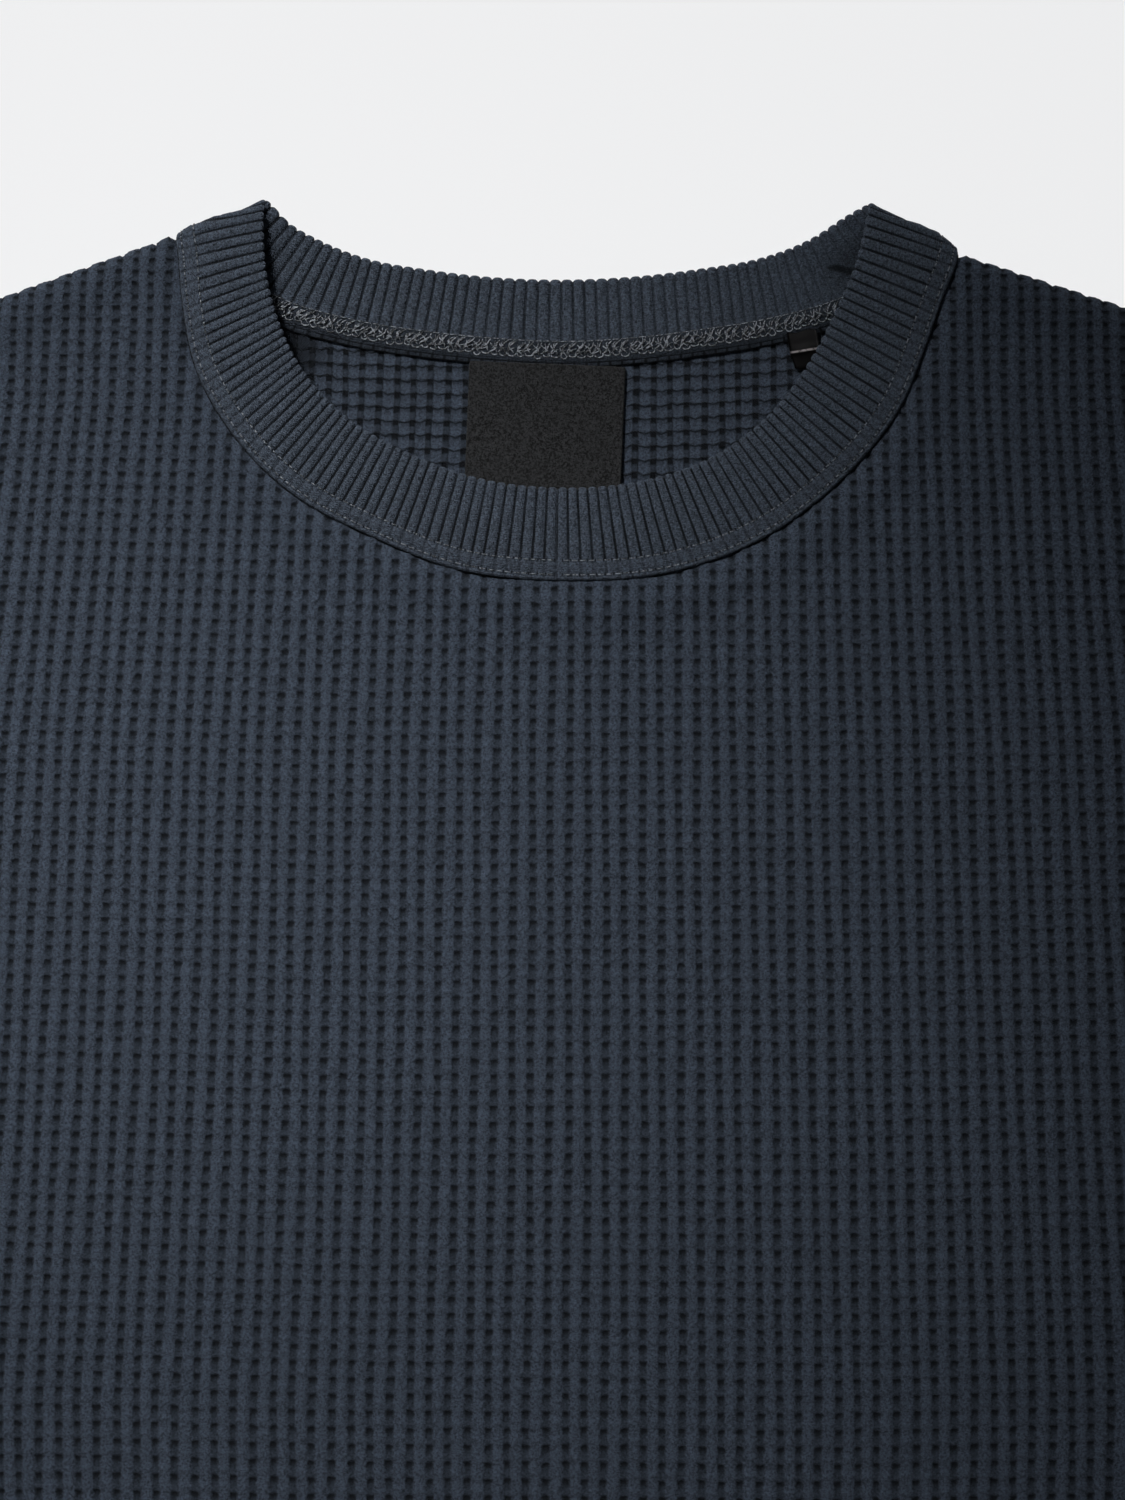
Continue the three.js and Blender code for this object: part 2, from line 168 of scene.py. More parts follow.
# Soft folds of the laid cloth: middle, direction in degrees, half length, half width and height
BODY_FOLDS = [
    (-238, -305, 60, 46, 9, 7.1),
    (-224, -340, 50, 56, 10.5, 5.8),
    (-254, -362, 74, 44, 9, 4.8),
    (240, -312, 121, 48, 10, 6.8),
    (222, -350, 131, 52, 11.5, 5.4),
    (254, -384, 106, 40, 9, 4.4),
    (-124, -500, 82, 95, 15.5, 6.5),
    (-84, -572, 76, 70, 11.5, 4.8),
    (100, -538, 98, 105, 17, 6.8),
    (152, -606, 107, 62, 11.5, 5.1),
    (12, -618, 88, 62, 15.5, 4.8),
    (-198, -606, 78, 70, 13, 5.4),
    (232, -520, 101, 64, 13, 5.1),
    (-238, -486, 83, 66, 13, 4.8),
]
RIGHT_SLEEVE_FOLDS = [
    (305, -268, 142, 42, 9, 6.5),
    (322, -232, 128, 52, 10.5, 5.4),
    (352, -290, 136, 38, 8, 5.1),
    (455, -330, 34, 34, 8.5, 6.5),
    (486, -362, 22, 38, 9, 6.5),
    (436, -300, 46, 32, 8, 4.8),
    (404, -306, 120, 44, 10.5, 4.4),
    (556, -462, 40, 28, 9, 5.1),
    (586, -420, 118, 50, 11.5, 4.4),
]
LEFT_SLEEVE_FOLDS = [
    (298, -252, 136, 46, 10, 6.1),
    (334, -262, 146, 40, 8.5, 5.1),
    (338, -214, 124, 48, 11.5, 4.4),
    (448, -346, 30, 32, 8.5, 5.8),
    (474, -338, 44, 40, 9, 6.8),
    (508, -384, 24, 30, 8, 4.8),
    (412, -262, 126, 46, 11.5, 4.8),
    (572, -486, 36, 26, 9, 4.4),
    (560, -400, 122, 44, 10.5, 5.1),
]


def smooth(low, high, value):
    share = np.clip((np.asarray(value, float) - low) / (high - low), 0, 1)
    return share * share * (3 - 2 * share)


def unit(vectors):
    return vectors / np.maximum(np.linalg.norm(vectors, axis=-1, keepdims=True), 1e-9)


def curve_through(points, steps=24):
    """A smooth curve through flat points, with an even run of points along it."""
    spots = np.array(points, float)
    first = 2 * spots[0] - spots[1]
    last = 2 * spots[-1] - spots[-2]
    spots = np.vstack([first, spots, last])
    gaps = np.linalg.norm(np.diff(spots, axis=0), axis=1) ** 0.5
    knots = np.concatenate([[0], np.cumsum(gaps)])
    run = []
    for place in range(1, len(spots) - 2):
        t0, t1, t2, t3 = knots[place - 1:place + 3]
        p0, p1, p2, p3 = spots[place - 1:place + 3]
        t = np.linspace(t1, t2, steps, endpoint=False)[:, None]
        a1 = (t1 - t) / (t1 - t0) * p0 + (t - t0) / (t1 - t0) * p1
        a2 = (t2 - t) / (t2 - t1) * p1 + (t - t1) / (t2 - t1) * p2
        a3 = (t3 - t) / (t3 - t2) * p2 + (t - t2) / (t3 - t2) * p3
        b1 = (t2 - t) / (t2 - t0) * a1 + (t - t0) / (t2 - t0) * a2
        b2 = (t3 - t) / (t3 - t1) * a2 + (t - t1) / (t3 - t1) * a3
        run.append((t2 - t) / (t2 - t1) * b1 + (t - t1) / (t2 - t1) * b2)
    run.append(spots[-2][None])
    return np.vstack(run)


def lengths_along(points):
    return np.concatenate([[0], np.cumsum(np.linalg.norm(np.diff(points, axis=0), axis=1))])


# Neck

def neck_rows():
    left = [(RIBS - row[0], *row[1:]) for row in reversed(NECK_LEFT)]
    return np.array([*NECK_RIGHT, *left], float)


NECK_ROWS = neck_rows()


def neck_at(rib):
    """The collar's sizes at any ribs, on smooth curves through the table's rows, by column."""
    turn = np.mod(np.asarray(rib, float), RIBS)
    start = np.searchsorted(NECK_ROWS[:, 0], turn, side="right") - 1

    def row(number):
        lap = number // len(NECK_ROWS)
        values = NECK_ROWS[number - lap * len(NECK_ROWS)].copy()
        values[..., 0] += lap * RIBS
        return values

    before, here, after, beyond = (row(start + step) for step in (-1, 0, 1, 2))

    def slope(one, two, three):
        step_in = (two - one)[..., :1]
        step_out = (three - two)[..., :1]
        rise_in = (two - one) / step_in
        rise_out = (three - two) / step_out
        return (rise_out * step_in + rise_in * step_out) / (step_in + step_out)

    step = (after - here)[..., :1]
    share = (turn[..., None] - here[..., :1]) / step
    leave = slope(before, here, after) * step
    arrive = slope(here, after, beyond) * step
    rise = after - here
    bend = share * (3 * rise - 2 * leave - arrive + share * (leave + arrive - 2 * rise))
    sizes = here + share * (leave + bend)
    return sizes[..., 1:4], sizes[..., 4:7], sizes[..., 7]


def band_frame(rib, across):
    """Middle of the collar band, its outward normal and its direction towards the free edge."""
    def middle(ribs):
        seam, edge, _ = neck_at(ribs)
        return seam + (edge - seam) * across[..., None], edge - seam

    place, towards = middle(rib)
    run = middle(rib + 0.5)[0] - middle(rib - 0.5)[0]
    normal = unit(np.cross(run, towards))
    across = np.clip(across, 0, 1)[..., None]
    crown = COLLAR_BOW * np.maximum(normal[..., 2:], 0) * 4 * across * (1 - across)
    fold_crown = FOLD_BOW * (1 - normal[..., 2:] ** 2) * 6.75 * across * (1 - across) ** 2
    return place + normal * (crown + fold_crown), normal, towards


# Body outline

def neck_curve(ribs, outside=0.4):
    """Neck edge of a panel, just outside the collar's seam."""
    seam, edge, _ = neck_at(np.asarray(ribs, float))
    away = unit((seam - edge)[..., :2])
    return seam[..., :2] + away * outside


FRONT_RIBS = np.linspace(-48, 45, 94)
BACK_RIBS = np.linspace(-54, -110.5, 80)


def body_outline(neck_ribs):
    """Edges of a body panel in order, each with its kind and its points."""
    armhole = curve_through(ARMHOLE)
    neck = neck_curve(neck_ribs)
    hem_left, hem_right = (-HEM_HALF, HEM_Y), (HEM_HALF, HEM_Y)
    edges = [
        ("hem", [hem_left, hem_right]),
        ("side", [hem_right, (CHEST_HALF, ARMPIT_Y)]),
        ("armhole", armhole[::-1]),
        ("side", [(TIP_HALF, TIP_Y), RIGHT_NECK_POINT]),
        ("neck", np.vstack([RIGHT_NECK_POINT, neck[::-1], LEFT_NECK_POINT])),
        ("side", [LEFT_NECK_POINT, (-TIP_HALF, TIP_Y)]),
        ("armhole", armhole * (-1, 1)),
        ("side", [(-CHEST_HALF, ARMPIT_Y), hem_left]),
    ]
    return [(kind, np.array(run, float)) for kind, run in edges]


def sleeve_outline():
    """Edges of a laid sleeve on the right side, with its over edge and underarm edge."""
    over = curve_through(SLEEVE_OVER)
    cuff_over = over[-1]
    across = np.array([math.cos(CUFF_TURN), math.sin(CUFF_TURN)])
    cuff_under = cuff_over + across * CUFF_WIDTH
    armhole = curve_through(ARMHOLE)
    armpit = armhole[-1]
    middle = (armpit + cuff_under) / 2 - across * UNDERARM_SAG
    under = curve_through([armpit, middle, cuff_under])
    return over, under, armhole, cuff_over, cuff_under


def edge_distances(points, edges):
    """Signed distance inside an outline, the nearest edge's kind, nearest point and way out."""
    best = np.full(len(points), 1e9)
    kind = np.zeros(len(points), int)
    nearest = np.zeros((len(points), 2))
    outward = np.zeros((len(points), 2))
    inside = np.zeros(len(points), bool)
    for number, (_, run) in enumerate(edges):
        for start, end in zip(run[:-1], run[1:]):
            span = end - start
            size = span @ span
            if size < 1e-12:
                continue
            share = np.clip(((points - start) @ span) / size, 0, 1)
            spot = start + share[:, None] * span
            gap = np.linalg.norm(points - spot, axis=1)
            closer = gap < best
            best = np.where(closer, gap, best)
            kind = np.where(closer, number, kind)
            nearest[closer] = spot[closer]
            out = np.array([span[1], -span[0]]) / math.sqrt(size)
            outward[closer] = out
            low, high = (start, end) if start[1] <= end[1] else (end, start)
            between = (points[:, 1] >= low[1]) & (points[:, 1] < high[1])
            rise = high[1] - low[1] or 1
            cross_x = low[0] + (points[:, 1] - low[1]) / rise * (high[0] - low[0])
            inside ^= between & (points[:, 0] < cross_x)
    away = points - nearest
    sharp = np.linalg.norm(away, axis=1) > 1e-6
    way = unit(away) * np.where(inside, -1, 1)[:, None]
    outward = np.where(sharp[:, None], way, outward)
    return np.where(inside, best, -best), kind, nearest, outward


# Meshes

def make_piece(name, points, faces, material, uvs=None):
    """A mesh object from points in millimetres; it rides on the part's one body."""
    places = np.array(points, dtype=np.float32).reshape(-1, 3)
    places[:, 1] += SHIFT_Y
    mesh = bpy.data.meshes.new(name)
    faces = np.asarray(faces, dtype=np.int32)
    corners = faces.shape[1]
    mesh.vertices.add(len(places))
    mesh.vertices.foreach_set("co", (places * MM).ravel())
    mesh.loops.add(faces.size)
    mesh.loops.foreach_set("vertex_index", faces.ravel())
    mesh.polygons.add(len(faces))
    mesh.polygons.foreach_set("loop_start", np.arange(0, faces.size, corners, dtype=np.int32))
    mesh.polygons.foreach_set("use_smooth", np.ones(len(faces), bool))
    mesh.update(calc_edges=True)
    if uvs is not None:
        layer = mesh.uv_layers.new(name="knit")
        layer.data.foreach_set("uv", np.asarray(uvs, np.float32)[faces.ravel()].ravel())
    mesh.validate()
    mesh.materials.append(material)
    piece = bpy.data.objects.new(name, mesh)
    bpy.context.scene.collection.objects.link(piece)
    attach(piece, "root")
    return piece


def grid_faces(rows, columns, wrap_rows=False, wrap_columns=False):
    row = np.arange(rows if wrap_rows else rows - 1)
    column = np.arange(columns if wrap_columns else columns - 1)
    i, j = np.meshgrid(row, column, indexing="ij")
    i2 = (i + 1) % rows
    j2 = (j + 1) % columns
    quads = np.stack([i * columns + j, i2 * columns + j, i2 * columns + j2, i * columns + j2], axis=-1)
    return quads.reshape(-1, 4)


def tidy_faces(points, faces, uvs):
    """Keeps only the points that the faces use."""
    used = np.unique(faces)
    number = np.full(len(points), -1)
    number[used] = np.arange(len(used))
    return points[used], number[faces], uvs[used]


# Materials

class Nodes:
    """Short ways to add the nodes of one finish."""

    def __init__(self, name):
        self.material = bpy.data.materials.new(name)
        self.material.use_nodes = True
        self.tree = self.material.node_tree
        self.tree.nodes.clear()
        self.out = self.tree.nodes.new("ShaderNodeOutputMaterial")
        self.shader = self.tree.nodes.new("ShaderNodeBsdfPrincipled")
        self.tree.links.new(self.shader.outputs[0], self.out.inputs[0])

    def add(self, kind, **settings):
        node = self.tree.nodes.new(kind)
        for key, value in settings.items():
            setattr(node, key, value)
        return node

    def feed(self, socket, value):
        if isinstance(value, bpy.types.NodeSocket):
            self.tree.links.new(value, socket)
        else:
            socket.default_value = value

    def math(self, operation, *values, clamp=False):
        node = self.add("ShaderNodeMath", operation=operation, use_clamp=clamp)
        for socket, value in zip(node.inputs, values):
            self.feed(socket, value)
        return node.outputs[0]

    def chain(self, operation, values):
        """One number from several, taken in by turns."""
        result = values[0]
        for value in values[1:]:
            result = self.math(operation, result, value)
        return result

    def times(self, *values):
        return self.chain("MULTIPLY", values)

    def most(self, *values):
        return self.chain("MAXIMUM", values)

    def rest(self, value, share=1):
        """What stays of 1 once a share of a value is taken off."""
        return self.math("SUBTRACT", 1, self.times(value, share))

    def gap(self, value, middle):
        """Distance of a value from a middle, either way."""
        return self.math("ABSOLUTE", self.math("SUBTRACT", value, middle))

    def from_half(self, value):
        return self.gap(self.math("FRACT", value), 0.5)

    def wave(self, value):
        return self.math("SINE", self.times(value, 2 * math.pi))

    def ramp(self, value, low, high, start=0.0, end=1.0, kind="SMOOTHSTEP"):
        node = self.add("ShaderNodeMapRange", interpolation_type=kind)
        for socket, item in zip(node.inputs[:5], (value, low, high, start, end)):
            self.feed(socket, item)
        return node.outputs[0]

    def noise(self, vector, scale, detail=2.0, roughness=0.5):
        node = self.add("ShaderNodeTexNoise")
        self.feed(node.inputs["Vector"], vector)
        node.inputs["Scale"].default_value = scale
        node.inputs["Detail"].default_value = detail
        node.inputs["Roughness"].default_value = roughness
        return node.outputs[0]

    def place(self):
        return self.add("ShaderNodeTexCoord").outputs["Object"]

    def near(self, spot, close, far, shade):
        """Painted shade round a spot in millimetres, rising to full light with the distance from it."""
        node = self.add("ShaderNodeVectorMath", operation="DISTANCE")
        self.feed(node.inputs[0], self.place())
        node.inputs[1].default_value = (spot[0] * MM, (spot[1] + SHIFT_Y) * MM, spot[2] * MM)
        return self.ramp(node.outputs["Value"], close, far, shade, 1.0)

    def knit_place(self):
        """The knit's own column and row numbers."""
        layer = self.add("ShaderNodeUVMap", uv_map="knit").outputs[0]
        parts = self.add("ShaderNodeSeparateXYZ")
        self.feed(parts.inputs[0], layer)
        return parts.outputs[0], parts.outputs[1]

    def mix(self, share, one, two):
        node = self.add("ShaderNodeMix", data_type="RGBA")
        self.feed(node.inputs[0], share)
        self.feed(node.inputs[6], one)
        self.feed(node.inputs[7], two)
        return node.outputs[2]

    def bump(self, height, distance, strength=1.0, normal=None):
        node = self.add("ShaderNodeBump")
        node.inputs["Strength"].default_value = strength
        node.inputs["Distance"].default_value = distance
        self.feed(node.inputs["Height"], height)
        if normal is not None:
            self.feed(node.inputs["Normal"], normal)
        return node.outputs[0]

    def finish(self, colour, roughness, normal=None, sheen=0.0, sheen_tint=(1, 1, 1, 1), shine=0.12):
        self.feed(self.shader.inputs["Base Color"], colour)
        self.feed(self.shader.inputs["Roughness"], roughness)
        self.shader.inputs["Sheen Weight"].default_value = sheen
        self.shader.inputs["Sheen Roughness"].default_value = 0.5
        self.shader.inputs["Sheen Tint"].default_value = sheen_tint
        self.shader.inputs["Specular IOR Level"].default_value = shine
        if normal is not None:
            self.feed(self.shader.inputs["Normal"], normal)
        return self.material


def scaled(colour, factor):
    return (*(channel * factor for channel in colour[:3]), 1)


def heather(nodes, base, depth=0.85):
    """Yarn colour with the fine light and dark flecks of a heather knit."""
    fleck = nodes.noise(nodes.place(), 1500, 3, 0.85)
    patch = nodes.noise(nodes.place(), 14, 2, 0.5)
    fleck = nodes.ramp(fleck, 0.32, 0.68, 0, 1, "LINEAR")
    light = nodes.mix(fleck, scaled(base, 1 - depth), scaled(base, 1 + depth))
    return nodes.mix(nodes.ramp(patch, 0.35, 0.65, 0, 0.12), light, scaled(base, 0.8))


def waffle_outside(nodes, v, from_valley, row):
    """Height and painted light of the outer face: ribs with soft ledges and painted highlights, and painted
    shade in the valleys and in a pit under each valley's bar.
    """
    fray = nodes.noise(nodes.place(), 700, 3, 0.8)
    from_middle = nodes.math("ADD", from_valley, nodes.ramp(fray, 0.3, 0.7, -0.07, 0.07, "LINEAR"))
    valley = nodes.ramp(from_middle, 0.09, 0.26, 1, 0)
    crown = nodes.rest(valley)
    deep = nodes.most(nodes.ramp(row, 0.3, 0.97, 0, 1), nodes.ramp(row, 0.02, 0.16, 1, 0))
    hole = nodes.times(valley, deep)
    under = nodes.most(nodes.ramp(row, 0.7, 0.95, 0, 1), nodes.ramp(row, 0.0, 0.1, 1, 0))
    line = nodes.times(valley, under)
    ledge = nodes.math("FRACT", nodes.math("ADD", v, nodes.math("MULTIPLY_ADD", from_valley, 0.7, 0.42)))
    step = nodes.times(nodes.ramp(ledge, 0.0, 0.85, 1, 0, "LINEAR"), nodes.ramp(ledge, 0.0, 0.1, 0, 1), crown)
    height = nodes.math("SUBTRACT", nodes.times(step, 0.2), nodes.times(hole, 0.6))
    # Painted shade: darker in the valleys, in the pits and in the line under each bar
    shade = nodes.times(nodes.rest(valley, 0.47), nodes.rest(hole, 0.62), nodes.rest(line, 0.9))
    # Painted highlight along the middle of each rib; the rib tops are then darkened and painted light again
    # just below each ledge
    shade = nodes.math("ADD", shade, nodes.times(nodes.ramp(from_valley, 0.34, 0.5), 0.1))
    shade = nodes.math("SUBTRACT", shade, nodes.times(crown, 0.23))
    return height, nodes.math("ADD", shade, nodes.times(step, 0.24))


def waffle_inside(nodes, from_valley, row):
    """Height and painted shade of the inner face: raised blocks, painted shade towards the foot of each, in a
    line under each and in the gaps and pits between them.
    """
    between = nodes.ramp(from_valley, 0.1, 0.24, 1, 0)
    below = nodes.ramp(row, 0.03, 0.13, 1, 0)
    above = nodes.ramp(row, 0.92, 0.98, 0, 1)
    line = nodes.times(nodes.most(below, above), nodes.math("MULTIPLY_ADD", between, 0.25, 0.75))
    pit = nodes.times(nodes.ramp(from_valley, 0.13, 0.2, 1, 0),
                      nodes.most(nodes.ramp(row, 0.58, 0.76, 0, 1), nodes.ramp(row, 0.06, 0.14, 1, 0)))
    height = nodes.rest(between, 0.45)
    height = nodes.math("SUBTRACT", height, nodes.times(line, 0.7))
    height = nodes.math("SUBTRACT", height, nodes.times(pit, 0.6))
    # Painted shade: darker between the blocks, towards the foot of each block, under each block and in the
    # pits
    shade = nodes.math("SUBTRACT", 0.86, nodes.times(between, 0.42))
    shade = nodes.math("SUBTRACT", shade, nodes.ramp(row, 0.5, 1.0, 0, 0.3))
    # Painted shadow of the collar's standing left fold, round FOLD_SPOT
    fold_shadow = nodes.near(FOLD_SPOT, 0.006, 0.017, 0.2)
    return height, nodes.times(shade, nodes.rest(line, 0.97), nodes.rest(pit), fold_shadow)


def waffle_material(name, base, inside=False):
    """Waffle knit in heather yarn, from the face that shows."""
    nodes = Nodes(name)
    u, v = nodes.knit_place()
    from_valley = nodes.from_half(u)
    if inside:
        from_valley = nodes.math("SUBTRACT", 0.5, from_valley)
    shift = nodes.ramp(nodes.noise(nodes.place(), 210, 3, 0.75), 0.3, 0.7, -0.09, 0.09, "LINEAR")
    curl = nodes.times(from_valley, from_valley, 0.6 if inside else -0.8)
    row = nodes.math("FRACT", nodes.chain("ADD", (v, shift, curl)))
    if inside:
        height, shade = waffle_inside(nodes, from_valley, row)
    else:
        height, shade = waffle_outside(nodes, v, from_valley, row)
    loops = nodes.wave(nodes.math("ADD", nodes.times(v, 9), nodes.times(u, 6)))
    fine = nodes.math("MULTIPLY_ADD", loops, 0.2, nodes.noise(nodes.place(), *YARN_GRAIN))
    # The painted shade mixes the heather colour down to its darkest painted shade
    colour = nodes.mix(shade, scaled(base, DARKEST_PAINTED_SHADE), heather(nodes, base))
    coarse = nodes.bump(height, 0.0011 if inside else 0.0009, 0.9)
    normal = nodes.bump(fine, 0.0005, 0.8, coarse)
    return nodes.finish(colour, 0.9, normal, 0.06, NAP_TINT)


def rib_grooves(nodes, u, v, inner):
    """Painted shade in the grooves between the ribs, weak where the band is pressed and towards its right
    inside.
    """
    # The painted groove shade is a little uneven along the band
    uneven_groove_shade = nodes.ramp(nodes.noise(nodes.place(), 75, 2, 0.6), 0.35, 0.55, 0.8, 1)
    pressed = nodes.times(nodes.ramp(v, 5.6, 6.3, 1, 0), nodes.ramp(v, -1.0, -0.9, 0, 1))
    faint = nodes.times(inner, nodes.ramp(u, 56, 108, 0.65, 0, "LINEAR"))
    groove = nodes.ramp(nodes.from_half(u), 0.06, 0.16, 1, 0)
    return nodes.times(groove, uneven_groove_shade, nodes.rest(pressed, 0.6), nodes.rest(faint), 0.95)


def seam_shade(nodes, v, inner):
    """Painted shade of the neck seam's ditch, of the seam's under side and of the overlocked allowance."""
    bumps = nodes.ramp(nodes.noise(nodes.place(), 190, 2, 0.6), 0.36, 0.52, 0.5, 1)
    ditch = nodes.times(nodes.ramp(v, -0.1, 0.15, 1, 0), nodes.ramp(v, -3.0, -2.9, 0, 1), bumps)
    under = nodes.times(nodes.ramp(v, -10.3, -10.05, 0, 1), nodes.ramp(v, -9.6, -9.5, 1, 0))
    strip = nodes.times(inner, nodes.ramp(v, -16.6, -16.2, 0, 0.58))
    return nodes.most(ditch, under, strip)


def fold_shade(nodes, u, v, inner):
    """Painted shade in the band's hollow by the left fold, and in its tuck and slanting crease by the right
    one.
    """
    hollow = nodes.times(nodes.ramp(u, 103.5, 108, 0, 0.7), nodes.ramp(u, 112, 114, 1, 0))
    hollow = nodes.times(hollow, inner, nodes.ramp(v, -35, -23, 0.1, 1))
    tuck = nodes.times(inner, nodes.ramp(u, 52.5, 58.5, 0.62, 0), nodes.ramp(v, -33, -25, 0, 1))
    height = nodes.math("ADD", v, 22.5)
    slant = nodes.math("MULTIPLY_ADD", height, 0.33, nodes.math("SUBTRACT", u, 54.6))
    crease = nodes.times(nodes.ramp(nodes.math("ABSOLUTE", slant), 0.2, 0.9, 0.95, 0),
                         nodes.ramp(nodes.math("ABSOLUTE", height), 2.5, 4.5, 1, 0))
    return nodes.most(hollow, tuck, crease)


def needle_holes(nodes, u, v):
    """Painted shade in the holes at the ends of the cover stitches."""
    needle = nodes.ramp(nodes.from_half(nodes.times(u, 1 / STITCH_RIBS)), 0.36, 0.5)
    rows = [nodes.ramp(nodes.gap(v, row), 0.25, 0.7, 1, 0) for row in COVER_ROWS]
    return nodes.times(needle, nodes.most(*rows))


def rib_material(name, base):
    """Rib knit: painted shade in the grooves between rounded ribs, pressed flat between the two rows of
    stitches, and painted shade at the seam, the folds and the needle holes.
    """
    nodes = Nodes(name)
    u, v = nodes.knit_place()
    inner = nodes.ramp(v, -9.8, -9.6, 1, 0)
    # All the dark gathered here is painted shade
    dark = nodes.most(rib_grooves(nodes, u, v, inner), seam_shade(nodes, v, inner),
                      fold_shade(nodes, u, v, inner), needle_holes(nodes, u, v))
    stitch = nodes.from_half(nodes.times(u, 2))
    loops = nodes.wave(nodes.math("ADD", nodes.times(v, 1.45), nodes.times(stitch, 1.1)))
    height = nodes.math("MULTIPLY_ADD", loops, 0.3, nodes.noise(nodes.place(), *YARN_GRAIN))
    # Where the marks are dark, painted shade mixes the heather colour down to its darkest painted shade
    colour = nodes.mix(dark, heather(nodes, base), scaled(base, DARKEST_PAINTED_SHADE))
    return nodes.finish(colour, 0.9, nodes.bump(height, 0.0005, 0.8), 0.06, NAP_TINT)


def suede_material(name, base):
    """Dark suede with a fine bright grain and a faint nap."""
    nodes = Nodes(name)
    grain = nodes.noise(nodes.place(), 1500, 3, 0.9)
    nap = nodes.noise(nodes.place(), 90, 3, 0.6)
    colour = nodes.mix(nodes.ramp(grain, 0.36, 0.66, 0, 1), scaled(base, 0.1), scaled(base, 2.7))
    colour = nodes.mix(nodes.ramp(nap, 0.4, 0.7, 0, 0.25), colour, scaled(base, 1.4))
    return nodes.finish(colour, 0.9, nodes.bump(grain, 0.0004, 0.5), 0.05)


def satin_material(name, base):
    """Black satin ribbon whose raised edge catches the light: a painted glint along the crest, on top of the
    satin's own shine.
    """
    nodes = Nodes(name)
    u, _ = nodes.knit_place()
    streak = nodes.noise(nodes.place(), 900, 2, 0.6)
    # Painted glint along the crest, broken up by the satin's streaks
    rim = nodes.ramp(nodes.gap(u, TAB["rim"]), 0.15, 0.4, 1, 0)
    rim = nodes.times(rim, nodes.ramp(streak, 0.3, 0.6, 0.2, 1))
    colour = nodes.mix(rim, scaled(base, 1), (0.3, 0.27, 0.28, 1))
    return nodes.finish(colour, 0.42, nodes.bump(streak, 0.0002, 0.3), shine=0.1)


def thread_material(name, base, shine=0.3):
    """Twisted thread, light and dark by turns along its strands."""
    nodes = Nodes(name)
    twist = nodes.noise(nodes.place(), 1300, 2, 0.7)
    colour = nodes.mix(nodes.ramp(twist, 0.4, 0.62), scaled(base, 0.16), scaled(base, 1.9))
    return nodes.finish(colour, 0.5, nodes.bump(twist, 0.0003, 0.5), shine=shine)


def stage_material(name, base, glow):
    """Pale paper, lit mostly by its own even glow."""
    nodes = Nodes(name)
    grain = nodes.noise(nodes.place(), 3, 1, 0.5)
    colour = nodes.mix(grain, scaled(base, 0.99), scaled(base, 1.01))
    material = nodes.finish(colour, 0.9)
    nodes.shader.inputs["Emission Color"].default_value = (1, 1.005, 1.015, 1)
    nodes.shader.inputs["Emission Strength"].default_value = glow
    return material


# Waffle cloth

def row_levels(low, high, inside):
    """Heights of the waffle's rows, closer near the shoulders than lower down."""
    pitches = (*ROW_PITCHES, TOP_ROW_PITCH_INSIDE if inside else TOP_ROW_PITCH)
    rows = [high]
    while rows[-1] > low:
        rows.append(rows[-1] - np.interp(rows[-1], ROW_HEIGHTS, pitches))
    return np.array(rows[::-1])


def body_knit(u, v, levels, sag=0):
    """Flat place of the body's knit at column u and row v; sag hangs the rows in the neck's curve."""
    y = np.interp(v, np.arange(len(levels)), levels)
    x = FAN_X + u * np.interp(y, COLUMN_HEIGHTS, COLUMN_PITCHES)
    wander = 0.5 * np.sin(y / 61 + x * 0.004) + 0.25 * np.sin(y / 17 + u * 1.7)
    wave = 1.2 * np.sin(x / 71 + y / 160) + 0.28 * np.sin(x / 23 + 1.3) + 0.12 * np.sin(u * 2.1)
    hang = sag * (x / 80) ** 2 * smooth(-150, -70, y)
    return np.stack([x + wander, y + wave + hang], axis=-1)


def waffle_relief(u, v):
    """Height of the waffle below the top of its ribs, deepest in the valleys between two bars."""
    valley = 1 - smooth(0.1, 0.28, np.abs(np.mod(u, 1) - 0.5))
    row = np.mod(v, 1)
    crest = ROW_SPOTS[1]
    bar = np.where(row < crest, row / crest, (1 - row) / (1 - crest))
    return -valley * (0.45 + 0.85 * (1 - bar)) - (1 - valley) * 0.16 * (1 - bar)


def fold_height(points, folds):
    """Height that the soft folds add to the laid cloth at flat places."""
    height = np.zeros(len(points))
    for x, y, turn, length, width, rise in folds:
        angle = math.radians(turn)
        away = points - (x, y)
        run = away @ (math.cos(angle), math.sin(angle))
        side = away @ (-math.sin(angle), math.cos(angle))
        height += rise * np.exp(-(run / length) ** 2 - (side / width) ** 2)
    return height


# How far each kind of edge runs on past the outline, along the cloth
EDGE_RUN = {
    "side": EDGE_RADIUS * (math.pi / 2 - 1),
    "hem": HEM_RADIUS * (math.pi - 1) + 9,
    "armhole": 0.6,
    "neck": 3.5,
}


